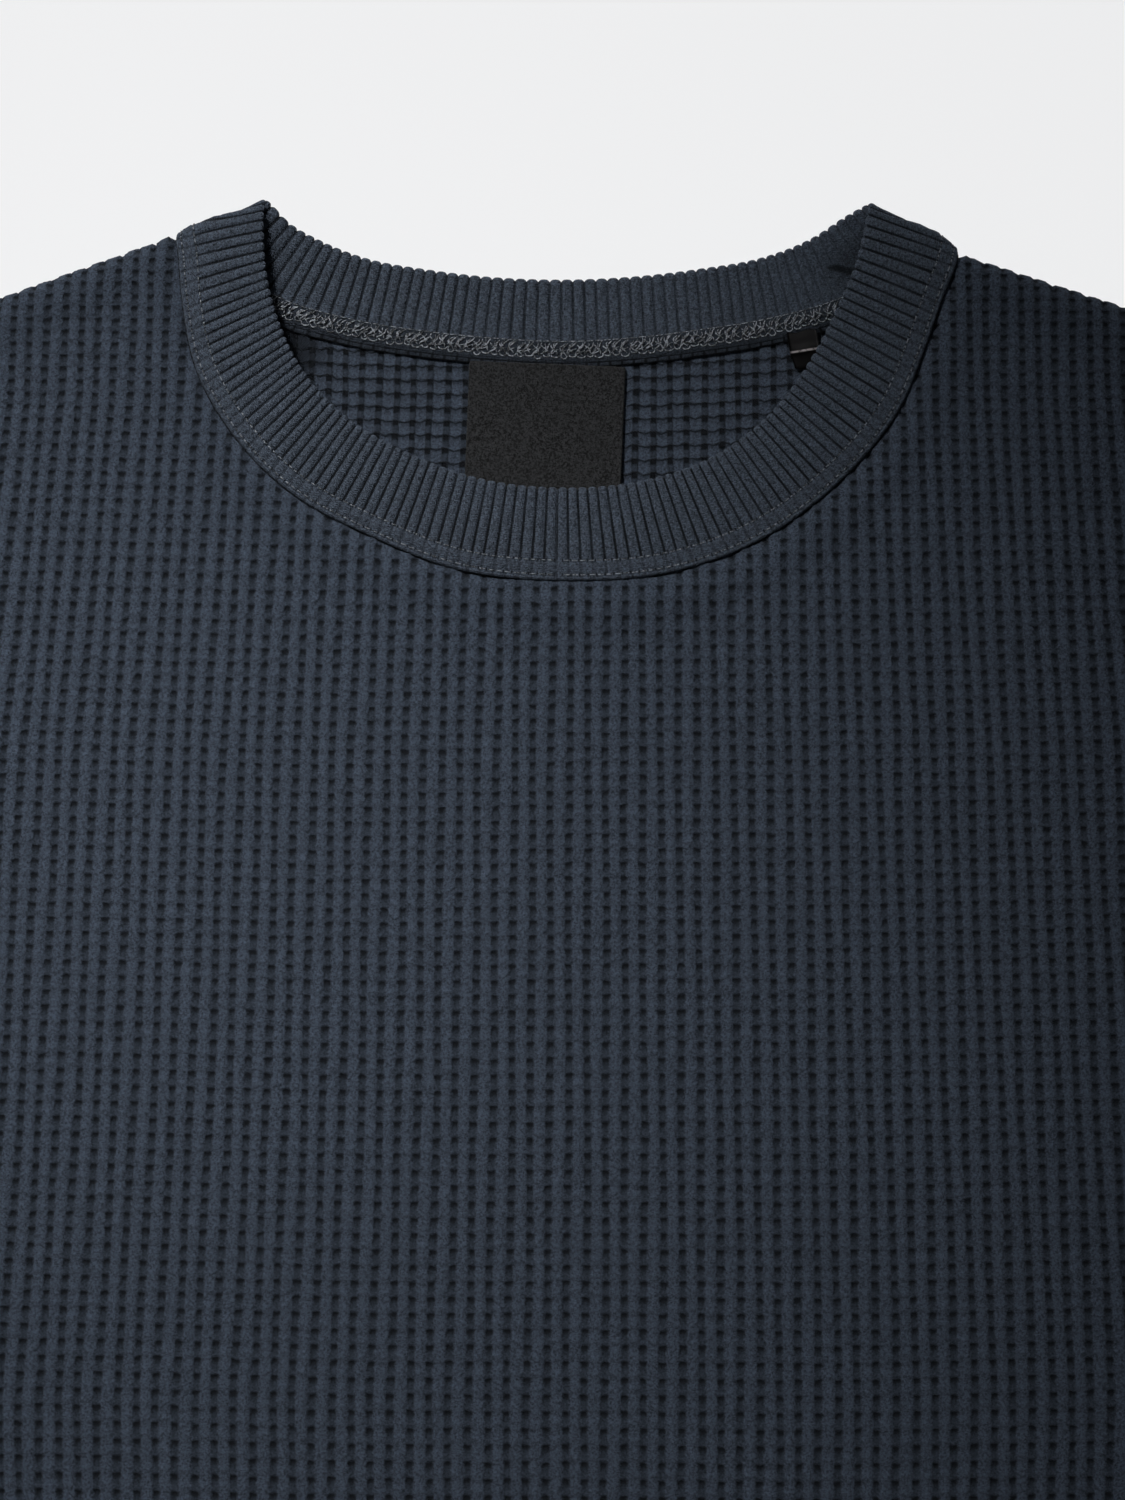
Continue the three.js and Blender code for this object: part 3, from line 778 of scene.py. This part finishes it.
def lay_edges(flat, edges, face_z, facing):
    """Plan place, height and outward normal of cloth that rolls over at its edges.

    facing is 1 for the cloth on top and -1 for the cloth that lies on the surface."""
    inside, kind, nearest, outward = edge_distances(flat, edges)
    names = np.array([name for name, _ in edges])[kind]
    run = np.array([EDGE_RUN[name] for name in names])
    neck_points = (LEFT_NECK_POINT, RIGHT_NECK_POINT)
    corner = np.min([np.linalg.norm(nearest - point, axis=1) for point in neck_points], axis=0)
    run = np.where(names == "neck", np.minimum(run, 0.1 + 0.35 * corner), run)
    depth = inside + run
    inside = np.maximum(inside, -run)
    plan = np.where((depth < 0)[:, None], nearest + outward * -inside[:, None], flat)
    z = np.array(face_z, float)
    normal = np.zeros((len(flat), 3))
    normal[:, 2] = facing
    rolled = np.isin(names, ("side", "hem"))
    radius = np.where(names == "hem", HEM_RADIUS, EDGE_RADIUS)
    turn = np.where(rolled, np.maximum(radius - inside, 0) / radius, 0)
    most = np.where(names == "hem", math.pi, math.pi / 2)
    back = np.maximum(turn - most, 0) * radius
    turn = np.minimum(turn, most)
    bent = turn > 0
    from_edge = radius * (1 - np.sin(turn)) + back
    rolled_plan = nearest - outward * from_edge[:, None]
    plan = np.where(bent[:, None], rolled_plan, plan)
    drop = np.where(names == "hem", HEM_RADIUS, np.abs(z - SEAM_LEVEL))
    z = z - facing * np.where(bent, drop * (1 - np.cos(turn)), 0)
    out = outward * np.sin(turn)[:, None]
    normal = np.where(bent[:, None], np.column_stack([out, facing * np.cos(turn)]), normal)
    seam = names == "armhole"
    z = z - facing * np.where(seam, 1.5 * (1 - smooth(-0.6, 3.2, inside)), 0)
    tuck = names == "neck"
    z = z - facing * np.where(tuck & (facing > 0), 1.7 * (1 - smooth(-0.5, 0.9, inside)), 0)
    calm = np.where(seam, smooth(-0.2, 3.4, inside), np.where(tuck, smooth(-1.2, 0.6, inside), 1))
    return plan, z, normal, depth, calm, np.where(names == "armhole", 99, inside)


def seam_swell(inside):
    """The ridge that the seam allowance raises just inside a side or shoulder seam."""
    return 1.1 * np.exp(-((inside - 7) / 4.2) ** 2)


def knit_sheet(place, u_range, v_range, edges, face, facing, folds, spots=COLUMN_SPOTS, mirror=1):
    """Points, faces and knit numbers of one layer of waffle cloth, cut to its outline."""
    columns = np.concatenate([np.arange(*u_range)[:, None] + np.array(spots)]).ravel()
    rows = (np.arange(*v_range)[:, None] + np.array(ROW_SPOTS)).ravel()
    v, u = np.meshgrid(rows, columns, indexing="ij")
    flat = place(u, v).reshape(-1, 2)
    u, v = u.ravel(), v.ravel()
    height = np.full(len(flat), face, float)
    if facing > 0:
        height += fold_height(flat, folds)
    plan, z, normal, depth, calm, near = lay_edges(flat, edges, height, facing)
    if facing > 0:
        z = z + seam_swell(near) * (normal[:, 2] > 0.99)
    points = np.column_stack([plan, z]) + normal * (waffle_relief(u, v) * calm)[:, None]
    points[:, 2] = np.maximum(points[:, 2], LOWEST)
    faces = grid_faces(len(rows), len(columns))
    faces = faces[(depth[faces] > 0).any(axis=1)]
    if facing > 0:
        faces = faces[:, ::-1]
    points, faces, uvs = tidy_faces(points, faces, np.column_stack([u, v]))
    if mirror < 0:
        points = points * (-1, 1, 1)
        faces = faces[:, ::-1]
    return points, faces, uvs


def joined(parts):
    """Several layers as one mesh."""
    points, faces, uvs, count = [], [], [], 0
    for part_points, part_faces, part_uvs in parts:
        points.append(part_points)
        faces.append(part_faces + count)
        uvs.append(part_uvs)
        count += len(part_points)
    return np.vstack(points), np.vstack(faces), np.vstack(uvs)


def body_sheet(neck_ribs, face, facing, spots=COLUMN_SPOTS):
    """One body panel, on rows that sag towards the neck on the inner face."""
    levels = row_levels(HEM_Y - 16, 24, facing < 0)
    sag = 0 if facing > 0 else 3
    reach = int(CHEST_HALF / 4.9) + 12
    return knit_sheet(
        lambda u, v: body_knit(u, v, levels, sag), (-reach, reach), (0, len(levels) - 1),
        body_outline(neck_ribs), face, facing, BODY_FOLDS, spots)


# Sleeves

def sleeve_layer(facing, side, spots=COLUMN_SPOTS):
    """One layer of a laid sleeve, its knit turned to run along the over edge."""
    over, under, armhole, cuff_over, cuff_under = sleeve_outline()
    edges = [
        ("side", over[::-1]),
        ("armhole", armhole),
        ("side", under),
        ("hem", np.array([cuff_under, cuff_over])),
    ]
    run = lengths_along(over)
    heading = unit(np.gradient(over, run, axis=0))
    reach = 15
    kernel = np.ones(2 * reach + 1) / (2 * reach + 1)
    padded = np.vstack([np.repeat(heading[:1], reach, 0), heading, np.repeat(heading[-1:], reach, 0)])
    heading = unit(np.stack([np.convolve(padded[:, axis], kernel, "valid") for axis in (0, 1)], axis=-1))
    sideways = np.column_stack([heading[:, 1], -heading[:, 0]])

    def place(u, v):
        distance = run[-1] + 14 - v * SLEEVE_ROW
        spot, way, out = (np.stack([np.interp(distance, run, table[:, axis]) for axis in (0, 1)], axis=-1)
                          for table in (over, heading, sideways))
        beyond = np.maximum(distance - run[-1], 0) + np.minimum(distance, 0)
        wander = 0.8 * np.sin(distance / 41 + u * 0.1)
        return spot + way * beyond[..., None] + out * (u * SLEEVE_COLUMN + wander)[..., None]

    face = FRONT_FACE - 0.1 if facing > 0 else BACK_FACE
    folds = RIGHT_SLEEVE_FOLDS if side > 0 else LEFT_SLEEVE_FOLDS
    rows = int((run[-1] + 20) / SLEEVE_ROW)
    return knit_sheet(place, (-2, 40), (0, rows), edges, face, facing, folds, spots, side)


# Collar

def collar_section():
    """The collar wall all round: across share, offset, turn of the face in degrees and rib share."""
    half = RIB_WALL / 2
    pressed_places = (0.035, 0.065, 0.095, 0.14, 0.18)
    raised_places = (0.24, 0.28, 0.36, 0.45, 0.54, 0.63, 0.72, 0.8, 0.87, 0.92)
    # The first three points make the seam flange, a strip just outside the seam that is painted dark as the
    # ditch's shadow
    section = [(-0.02, -0.9, 0, 0), (-0.02, -0.4, 0, 0), (-0.003, -0.3, 0, 0)]
    section += [(0.0, half * 0.45, 0, 0.3), (0.014, half * 0.9, 0, 0.35)]
    section += [(place, half, 0, 0.5) for place in pressed_places]
    section += [(0.21, half, 0, 0.75)]
    section += [(place, half, 0, 1) for place in raised_places]
    section += [(0.96, half, turn, 1) for turn in (20, 45, 70, 90, 110, 135, 160)]
    section += [(place, -half, 180, 1) for place in (0.92, 0.84, 0.74, 0.64, 0.54, 0.45, 0.36, 0.29)]
    section += [(0.265, -half, 180, 0.9), (0.255, -half - 0.5, 180, 0.3)]
    section += [(place, -half - 1, 180, 0.3) for place in (0.24, 0.18, 0.12)]
    section += [(0.1, -half - 0.8, 180, 0.3), (0.085, -half - 1.1, 180, 0.9), (0.05, -half - 1.3, 180, 1.1)]
    section += [(0.015, -half - 1.0, 180, 1.1), (0.0, -half - 0.3, 180, 0.9)]
    return section


def stitch_dip(distance):
    """Depth to which the two rows of stitches pull the band in, by distance from the seam."""
    return sum(0.38 * np.exp(-((distance - row) / 0.55) ** 2) for row in COVER_ROWS)


def collar_mesh():
    """The doubled rib band all round the neck, with its seam flange (a strip painted as the seam ditch's
    shadow), lip and raised ribs.
    """
    shares = np.array([place for place, _ in RIB_PROFILE])
    depths = np.array([depth for _, depth in RIB_PROFILE])
    rib = (np.arange(RIBS)[:, None] + shares).ravel()
    relief = np.tile(depths, RIBS)
    section = collar_section()
    across, offset, turn, share = np.array(section, float).T
    turn = np.radians(turn)
    ribs = np.repeat(rib[:, None], len(section), axis=1)
    _, _, allowance = neck_at(ribs)
    # The flange painted as the ditch's shadow reaches further out where the allowance stands off
    across = np.where(across < -0.01, across - 0.04 * np.clip(allowance, 0, 1), across)
    place, normal, towards = band_frame(ribs, across)
    width = np.linalg.norm(towards, axis=-1)
    half = RIB_WALL / 2
    stand = np.where(offset < -half, (offset + half) * allowance, 0)
    flat = np.clip(offset, -half, half)
    tip = (across == 0.96) & (turn > 0) & (turn < math.pi)
    flat = np.where(tip, half * np.cos(turn), flat)
    reach = np.where(tip, half * np.sin(turn), 0)
    dip = np.where((offset > 0) & ~tip, stitch_dip(across * width), 0)
    onward = unit(towards)
    point = place + normal * (flat + stand - dip)[..., None] + onward * reach[..., None]
    way = normal * np.cos(turn)[None, :, None] + onward * np.sin(turn)[None, :, None]
    lip = (turn == math.pi) & (across < 0.09)
    bumps = 0.3 * np.cos(ribs * 4 * math.pi) - 0.3
    relief = np.where(lip, bumps * allowance, relief[:, None])
    point = point + way * (relief * share[None])[..., None]
    point[..., 2] = np.maximum(point[..., 2], LOWEST)
    run = across * width
    uvs = np.stack([ribs, np.where(turn > math.pi / 2, -10 - run, run)], axis=-1)
    faces = grid_faces(len(rib), len(section), True, True)
    return point.reshape(-1, 3), faces, uvs.reshape(-1, 2)


# Thread work

def tube_mesh(path, radius, sides=5):
    """A thread along a run of points, with closed ends."""
    path = np.asarray(path, float)
    heading = unit(np.gradient(path, axis=0))
    up = np.where(np.abs(heading[:, 2:]) > 0.9, [[1.0, 0, 0]], [[0, 0, 1.0]])
    across = unit(np.cross(heading, up))
    over = np.cross(across, heading)
    angle = np.linspace(0, 2 * math.pi, sides, endpoint=False)
    taper = np.ones(len(path))
    taper[[0, -1]] = 0.35
    ring = across[:, None] * np.cos(angle)[None, :, None] + over[:, None] * np.sin(angle)[None, :, None]
    points = path[:, None] + ring * (radius * taper)[:, None, None]
    faces = grid_faces(len(path), sides, False, True)
    count = len(path) * sides
    last = count - sides
    ends = np.array([[0, k, k + 1, k + 1] for k in range(1, sides - 1)])
    flipped = np.array([[last, last + k + 1, last + k, last + k] for k in range(1, sides - 1)])
    faces = np.vstack([faces, ends, flipped])
    uvs = np.zeros((count, 2))
    return points.reshape(-1, 3), faces, uvs


def on_band(rib, across_mm, lift, inner=False):
    """Points on the collar's outer or inner face."""
    rib = np.asarray(rib, float)
    seam, edge, allowance = neck_at(rib)
    width = np.linalg.norm(edge - seam, axis=-1)
    place, normal, _ = band_frame(rib, np.asarray(across_mm) / width)
    half = RIB_WALL / 2
    if inner:
        return place - normal * (half + allowance + lift)[..., None]
    return place + normal * (half + lift)[..., None]


def seam_run(first, last, step):
    """Rib numbers at even distances along the neck seam."""
    rib = np.linspace(first, last, 2000)
    seam, _, _ = neck_at(rib)
    run = lengths_along(seam)
    count = int(run[-1] / step)
    return np.interp(np.linspace(0, run[-1], count + 1), run, rib)


def cover_stitches():
    """Short stitches in two rows round the collar, each dipping into the cloth at its needle holes."""
    parts = []
    for row in COVER_ROWS:
        for number in range(int(RIBS / STITCH_RIBS)):
            ribs = (number + np.array([0.1, 0.24, 0.5, 0.76, 0.9])) * STITCH_RIBS
            lift = np.array([-0.75, -0.36, -0.2, -0.36, -0.75])
            parts.append(tube_mesh(on_band(ribs, np.full(5, row), lift), 0.19))
    return joined(parts)


def looper_threads():
    """Threads of the overlocked allowance inside the back of the neck, each pulled a little unevenly."""
    marks = seam_run(50, 112.5, 2.5)
    low, high = 2.2, 6.0
    steps = np.linspace(0, 1, 6)
    rise = np.sin(steps * math.pi)
    parts = []
    for number, (one, two) in enumerate(zip(marks[:-1], marks[1:])):
        gap = two - one
        pull = [math.sin(number * rate + rate) for rate in (2.4, 3.7, 5.3, 1.9)]
        top = high + 0.25 * pull[0]
        foot = low + 0.25 * pull[1]
        strands = [
            (0.1 * pull[2], 1.2 + 0.2 * pull[0], top, foot, 0.22, 0.35),
            (0.45 + 0.1 * pull[1], 0.95 + 0.15 * pull[3], top - 0.2, foot + 1.2, 0.15, 0.55),
            (1.0, 0.3 + 0.15 * pull[2], top - 0.9, foot + 0.1, 0.2, 0.6),
            (0.2 + 0.1 * pull[3], 1.1, foot + 1.7, foot + 0.3, 0.15, 0.45),
        ]
        for start, end, from_edge, to_edge, radius, lift in strands:
            bend = 0.14 * np.sin(steps * 2 * math.pi + number)
            path = on_band(one + gap * (start + (end - start) * steps + bend),
                           from_edge + (to_edge - from_edge) * steps, 0.1 + lift * rise, True)
            parts.append(tube_mesh(path, radius))
        angle = np.linspace(math.pi * 0.95, math.pi * 2.05, 7)
        loop = on_band(one + gap * (0.5 + (0.42 + 0.08 * pull[0]) * np.cos(angle)),
                       foot + (0.7 + 0.2 * pull[3]) * np.sin(angle), np.full(7, 0.16), True)
        parts.append(tube_mesh(loop, 0.19))
        run = on_band(one + gap * (0.1 + 0.8 * steps), np.full(6, high + 0.2), 0.02 + 0.25 * rise, True)
        parts.append(tube_mesh(run, 0.14))
    return joined(parts)


def hem_stitches():
    """Twin rows of thread above the body hem and the sleeve hems."""
    over, _, _, cuff_over, cuff_under = sleeve_outline()
    along_sleeve = unit((over[-1] - over[-12])[None])[0]
    across = unit((cuff_under - cuff_over)[None])[0]
    lines = [((-HEM_HALF + 6, HEM_Y), (HEM_HALF - 6, HEM_Y), (0, 1), BODY_FOLDS)]
    for side in (1, -1):
        turn = np.array([side, 1])
        start, end = cuff_over + across * 5, cuff_under - across * 5
        lines.append((start * turn, end * turn, -along_sleeve * turn, []))
    parts = []
    for start, end, inward, folds in lines:
        start, end, inward = (np.array(spot, float) for spot in (start, end, inward))
        length = np.linalg.norm(end - start)
        for row in HEM_ROWS:
            for number in range(int(length / HEM_STITCH)):
                share = (number + np.array([0.12, 0.3, 0.5, 0.7, 0.88])) * HEM_STITCH / length
                flat = start + (end - start) * share[:, None] + inward * row
                lift = np.array([-0.45, 0.1, 0.2, 0.1, -0.45])
                face = FRONT_FACE + fold_height(flat, folds)
                parts.append(tube_mesh(np.column_stack([flat, face + lift]), 0.2, 4))
    return joined(parts)


# Label and tab

def label_mesh():
    """A thin plate with rounded corners and softened edges, a little wavy as sewn suede is."""
    width, height, corner = LABEL["width"], LABEL["height"], LABEL["corner"]
    steps = np.linspace(-1, 1, 41)
    u, v = np.meshgrid(steps, steps, indexing="ij")
    layers = []
    half_x, half_y = width / 2, height / 2
    for inset, z in ((0.35, 0.0), (0.0, 0.25), (0.0, 0.55), (0.35, LABEL["thickness"])):
        x = u * (half_x - inset)
        y = v * (half_y - inset)
        over_x = np.maximum(np.abs(x) - (half_x - inset - corner), 0)
        over_y = np.maximum(np.abs(y) - (half_y - inset - corner), 0)
        size = np.hypot(over_x, over_y)
        pull = np.where(size > corner, corner / np.maximum(size, 1e-9), 1)
        x = np.sign(x) * (np.abs(x) - over_x * (1 - pull))
        y = np.sign(y) * (np.abs(y) - over_y * (1 - pull))
        wave = 0.12 * np.sin(x / 7 + 1) * np.sin(y / 9)
        droop = 0.25 * smooth(-half_y, half_y, -y) * smooth(0, half_x, np.abs(x))
        layers.append(np.stack([x, y, z + wave + droop], axis=-1))
    count = len(steps)
    rim = [(0, j) for j in range(count)] + [(i, count - 1) for i in range(1, count)]
    rim += [(count - 1, j) for j in range(count - 2, -1, -1)] + [(i, 0) for i in range(count - 2, 0, -1)]
    rim_rows = [np.array([layer[i, j] for i, j in rim]) for layer in layers]
    flat_faces = grid_faces(count, count)
    bottom, top = layers[0].reshape(-1, 3), layers[-1].reshape(-1, 3)
    wall = np.vstack(rim_rows)
    wall_faces = grid_faces(len(rim_rows), len(rim), False, True)
    points = np.vstack([bottom, top, wall])
    size = len(bottom)
    faces = np.vstack([flat_faces, flat_faces[:, ::-1] + size, wall_faces + 2 * size])
    angle = math.radians(LABEL["turn"])
    turned = points.copy()
    turned[:, 0] = points[:, 0] * math.cos(angle) - points[:, 1] * math.sin(angle) + LABEL["x"]
    turned[:, 1] = points[:, 0] * math.sin(angle) + points[:, 1] * math.cos(angle) + LABEL["y"]
    turned[:, 2] += LABEL_Z
    return turned, faces, points[:, :2]


def tab_mesh():
    """A satin ribbon folded back on itself: it rises to a crest and falls away to its fold."""
    thickness = TAB["thickness"]
    middle = curve_through(TAB_PATH, TAB_STEPS)
    heading = unit(np.gradient(middle, axis=0))
    normal = np.column_stack([heading[:, 1], -heading[:, 0]])
    loop = np.vstack([middle + normal * thickness / 2, (middle - normal * thickness / 2)[::-1]])
    across = np.linspace(-0.5, 0.5, 13) * TAB["width"]
    turn = math.radians(TAB["turn"])
    rows = []
    for step in across:
        lean = 0.03 * step * loop[:, 0] / TAB["length"]
        narrow = 1 - 0.18 * smooth(4, 9, loop[:, 0])
        rows.append(np.column_stack([loop[:, 0] + 0.25 * math.sin(step), step * narrow, loop[:, 1] + lean]))
    local = np.array(rows)
    points = local.copy()
    points[..., 0] = local[..., 0] * math.cos(turn) + local[..., 1] * math.sin(turn) + TAB["x"]
    points[..., 1] = local[..., 0] * math.sin(turn) - local[..., 1] * math.cos(turn) + TAB["y"]
    points[..., 2] = local[..., 2] + LABEL_Z
    count = len(loop)
    faces = grid_faces(len(across), count, False, True)
    ends = []
    for row in (0, len(across) - 1):
        base = row * count
        for k in range(len(middle) - 1):
            quad = [base + k, base + k + 1, base + count - 2 - k, base + count - 1 - k]
            ends.append(quad if row else quad[::-1])
    # Only the upper layer carries its distance from the seam, so the painted glint falls on the crest alone
    run_out = TAB_STEPS * TAB_PATH.index(max(TAB_PATH)) + 1
    upper = np.arange(count) >= count - run_out
    uvs = np.stack([np.where(upper, local[..., 0], 2 * TAB["length"]), local[..., 1]], axis=-1)
    return points.reshape(-1, 3), np.vstack([faces, ends]), uvs.reshape(-1, 2)


# Settings

class TopColours(bpy.types.PropertyGroup):
    waffle: bpy.props.FloatVectorProperty(
        name="Waffle knit", description="Yarn colour of the body and sleeves", subtype="COLOR", size=3,
        min=0, max=1, default=(0.050, 0.064, 0.089))
    rib: bpy.props.FloatVectorProperty(
        name="Rib knit", description="Yarn colour of the collar", subtype="COLOR", size=3,
        min=0, max=1, default=(0.050, 0.062, 0.082))
    label: bpy.props.FloatVectorProperty(
        name="Label", description="Colour of the suede neck label", subtype="COLOR", size=3,
        min=0, max=1, default=(0.0128, 0.0130, 0.0136))
    tab: bpy.props.FloatVectorProperty(
        name="Loop tab", description="Colour of the satin loop tab", subtype="COLOR", size=3,
        min=0, max=1, default=(0.003, 0.0028, 0.003))
    thread: bpy.props.FloatVectorProperty(
        name="Thread", description="Colour of the stitching", subtype="COLOR", size=3,
        min=0, max=1, default=(0.12, 0.13, 0.145))


class StageSettings(bpy.types.PropertyGroup):
    view_height: bpy.props.FloatProperty(
        name="View height", description="Height of cloth that the picture takes in", unit="LENGTH",
        default=PHOTO_HEIGHT / PHOTO_SCALE * MM, min=0.05)
    distance: bpy.props.FloatProperty(
        name="Camera distance", description="Height of the camera above the surface", unit="LENGTH",
        default=1.3, min=0.2)
    key_power: bpy.props.FloatProperty(
        name="Key light", description="Power of the soft light from the upper left", default=0.83, min=0)
    fill_power: bpy.props.FloatProperty(
        name="Fill light", description="Power of the wide light overhead", default=0.6, min=0)
    outer_power: bpy.props.FloatProperty(
        name="Outer lights", description="Power of the soft lights over the sleeves and the hem",
        default=0.27, min=0)
    floor: bpy.props.FloatVectorProperty(
        name="Floor", description="Colour of the surface", subtype="COLOR", size=3,
        min=0, max=1, default=(0.04, 0.04, 0.041))
    glow: bpy.props.FloatProperty(
        name="Floor glow", description="Even light of the surface itself", default=0.83, min=0)


def colours():
    return bpy.context.scene.top_colours


# Pieces

class TOP_OT_front(bpy.types.Operator):
    """Front panel of waffle knit, rolled at its shoulder and side seams and turned at the hem"""
    bl_idname = "top.front"
    bl_label = "Front"

    def execute(self, context):
        material = waffle_material("waffle_front", colours().waffle)
        points, faces, uvs = body_sheet(FRONT_RIBS, FRONT_FACE, 1)
        piece = make_piece("front_cloth", points, faces, material, uvs)
        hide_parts("front")
        return {"FINISHED"}


class TOP_OT_back(bpy.types.Operator):
    """Back panel of waffle knit, whose inner face shows inside the neck"""
    bl_idname = "top.back"
    bl_label = "Back"

    def execute(self, context):
        material = waffle_material("waffle_inside", colours().waffle, True)
        points, faces, uvs = body_sheet(BACK_RIBS, BACK_FACE, -1, PLAIN_SPOTS)
        piece = make_piece("back_cloth", points, faces, material, uvs)
        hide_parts("back")
        return {"FINISHED"}


class TOP_OT_sleeves(bpy.types.Operator):
    """Long set-in sleeves, each laid flat with its cloth on both faces"""
    bl_idname = "top.sleeves"
    bl_label = "Sleeves"

    def execute(self, context):
        material = waffle_material("waffle_sleeve", colours().waffle)
        for side, node in ((1, "sleeve_right"), (-1, "sleeve_left")):
            layers = [sleeve_layer(1, side), sleeve_layer(-1, side, PLAIN_SPOTS)]
            points, faces, uvs = joined(layers)
            piece = make_piece(node + "_cloth", points, faces, material, uvs)
            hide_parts(node)
        return {"FINISHED"}


class TOP_OT_collar(bpy.types.Operator):
    """Doubled rib-knit collar with its raised ribs on both faces"""
    bl_idname = "top.collar"
    bl_label = "Collar"

    def execute(self, context):
        material = rib_material("rib_knit", colours().rib)
        points, faces, uvs = collar_mesh()
        piece = make_piece("collar_rib", points, faces, material, uvs)
        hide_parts("collar")
        return {"FINISHED"}


class TOP_OT_label(bpy.types.Operator):
    """Plain suede neck label and the folded satin loop tab"""
    bl_idname = "top.label"
    bl_label = "Label and tab"

    def execute(self, context):
        points, faces, uvs = label_mesh()
        suede = suede_material("label_suede", colours().label)
        piece = make_piece("label_plate", points, faces, suede, uvs)
        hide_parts("neck_label")
        points, faces, uvs = tab_mesh()
        satin = satin_material("tab_satin", colours().tab)
        piece = make_piece("tab_ribbon", points, faces, satin, uvs)
        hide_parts("loop_tab")
        return {"FINISHED"}


class TOP_OT_stitching(bpy.types.Operator):
    """Cover stitches round the collar, threads over the back neck seam and twin-needle hems"""
    bl_idname = "top.stitching"
    bl_label = "Stitching"

    def execute(self, context):
        bright = thread_material("overlock_thread", scaled(colours().thread, 1.15), 0.5)
        dull = thread_material("stitch_thread", scaled(colours().thread, 0.85))
        for name, maker, slot_name, thread in (
                ("collar_stitching", cover_stitches, "rib_cloth", dull),
                ("neck_seam_threads", looper_threads, "rib_cloth", bright),
                ("hem_stitching", hem_stitches, "waffle_cloth", dull)):
            points, faces, uvs = maker()
            make_piece(name, points, faces, thread, uvs)
        return {"FINISHED"}


class TOP_OT_stage(bpy.types.Operator):
    """Pale surface, soft light from the upper left and the camera straight above"""
    bl_idname = "top.stage"
    bl_label = "Stage"

    def execute(self, context):
        scene = context.scene
        settings = scene.top_stage
        bpy.ops.mesh.primitive_plane_add(size=FLOOR_SIZE, location=(0, 0, -0.0002))
        floor = context.active_object
        floor.name = "floor"
        floor.data.materials.append(stage_material("floor_paper", settings.floor, settings.glow))
        camera_data = bpy.data.cameras.new("camera")
        camera_data.sensor_fit = "VERTICAL"
        camera_data.sensor_height = 24
        camera_data.lens = camera_data.sensor_height * settings.distance / settings.view_height
        camera_data.clip_end = 20
        camera = bpy.data.objects.new("camera", camera_data)
        camera.location = (PHOTO_MIDDLE[0] * MM, (PHOTO_MIDDLE[1] + SHIFT_Y) * MM, settings.distance)
        scene.collection.objects.link(camera)
        scene.camera = camera
        neck = np.array([0, SHIFT_Y * MM, 0])
        outer = settings.outer_power
        for name, place, look, size, spread, power in (
                ("key", (-0.45, 0.45, 1.05), (-0.107, -0.178, 0), 0.32, 0.58, settings.key_power),
                ("left_sleeve", (-1.0, 0.25, 0.75), (-0.5, -0.33, 0), 0.3, 0.5, outer),
                ("right_sleeve", (1.0, 0.25, 0.75), (0.56, -0.34, 0), 0.3, 0.5, outer),
                ("hem", (-0.6, -0.35, 0.75), (0.03, -0.68, 0), 0.3, 0.5, outer),
                ("fill", (-0.1, 0.1, 1.6), (-0.1, 0.1, 0), 2.4, math.pi, settings.fill_power)):
            self.light(scene, name, neck + place, neck + look, size, spread, power)
        scene.view_settings.view_transform = "Standard"
        world = bpy.data.worlds.new("studio")
        world.use_nodes = True
        world.node_tree.nodes["Background"].inputs[0].default_value = (0.9, 0.95, 1.0, 1)
        world.node_tree.nodes["Background"].inputs[1].default_value = 0.06
        scene.world = world
        return {"FINISHED"}

    def light(self, scene, name, place, look, size, spread, power):
        """A soft round lamp at a place, turned towards another."""
        data = bpy.data.lights.new(name, "AREA")
        data.shape = "DISK"
        data.size = size
        data.spread = spread
        data.energy = power
        lamp = bpy.data.objects.new(name, data)
        lamp.location = place
        way = np.array(look) - np.array(place)
        flat = math.hypot(way[0], way[1])
        heading = math.atan2(-way[0], way[1]) if flat > 1e-6 else 0
        lamp.rotation_euler = (math.atan2(flat, -way[2]), 0, heading)
        lamp.visible_camera = False
        scene.collection.objects.link(lamp)


class TOP_PT_panel(bpy.types.Panel):
    bl_label = "Thermal Top"
    bl_space_type = "VIEW_3D"
    bl_region_type = "UI"
    bl_category = "Thermal Top"

    def draw(self, context):
        layout = self.layout
        for name in colours().bl_rna.properties.keys()[2:]:
            layout.prop(colours(), name)
        for name in context.scene.top_stage.bl_rna.properties.keys()[2:]:
            layout.prop(context.scene.top_stage, name)
        for operator in OPERATORS:
            layout.operator(operator.bl_idname)


OPERATORS = (
    TOP_OT_stage, TOP_OT_front, TOP_OT_back, TOP_OT_sleeves, TOP_OT_collar, TOP_OT_label, TOP_OT_stitching)
CLASSES = (TopColours, StageSettings, *OPERATORS, TOP_PT_panel)


def register():
    for each in CLASSES:
        bpy.utils.register_class(each)
    bpy.types.Scene.top_colours = bpy.props.PointerProperty(type=TopColours)
    bpy.types.Scene.top_stage = bpy.props.PointerProperty(type=StageSettings)


def unregister():
    del bpy.types.Scene.top_stage
    del bpy.types.Scene.top_colours
    for each in reversed(CLASSES):
        bpy.utils.unregister_class(each)


def main():
    register()
    bpy.ops.top.stage()
    bpy.ops.top.label()
    bpy.ops.top.back()
    bpy.ops.top.front()
    bpy.ops.top.sleeves()
    bpy.ops.top.collar()
    bpy.ops.top.stitching()


if __name__ == "__main__":
    main()
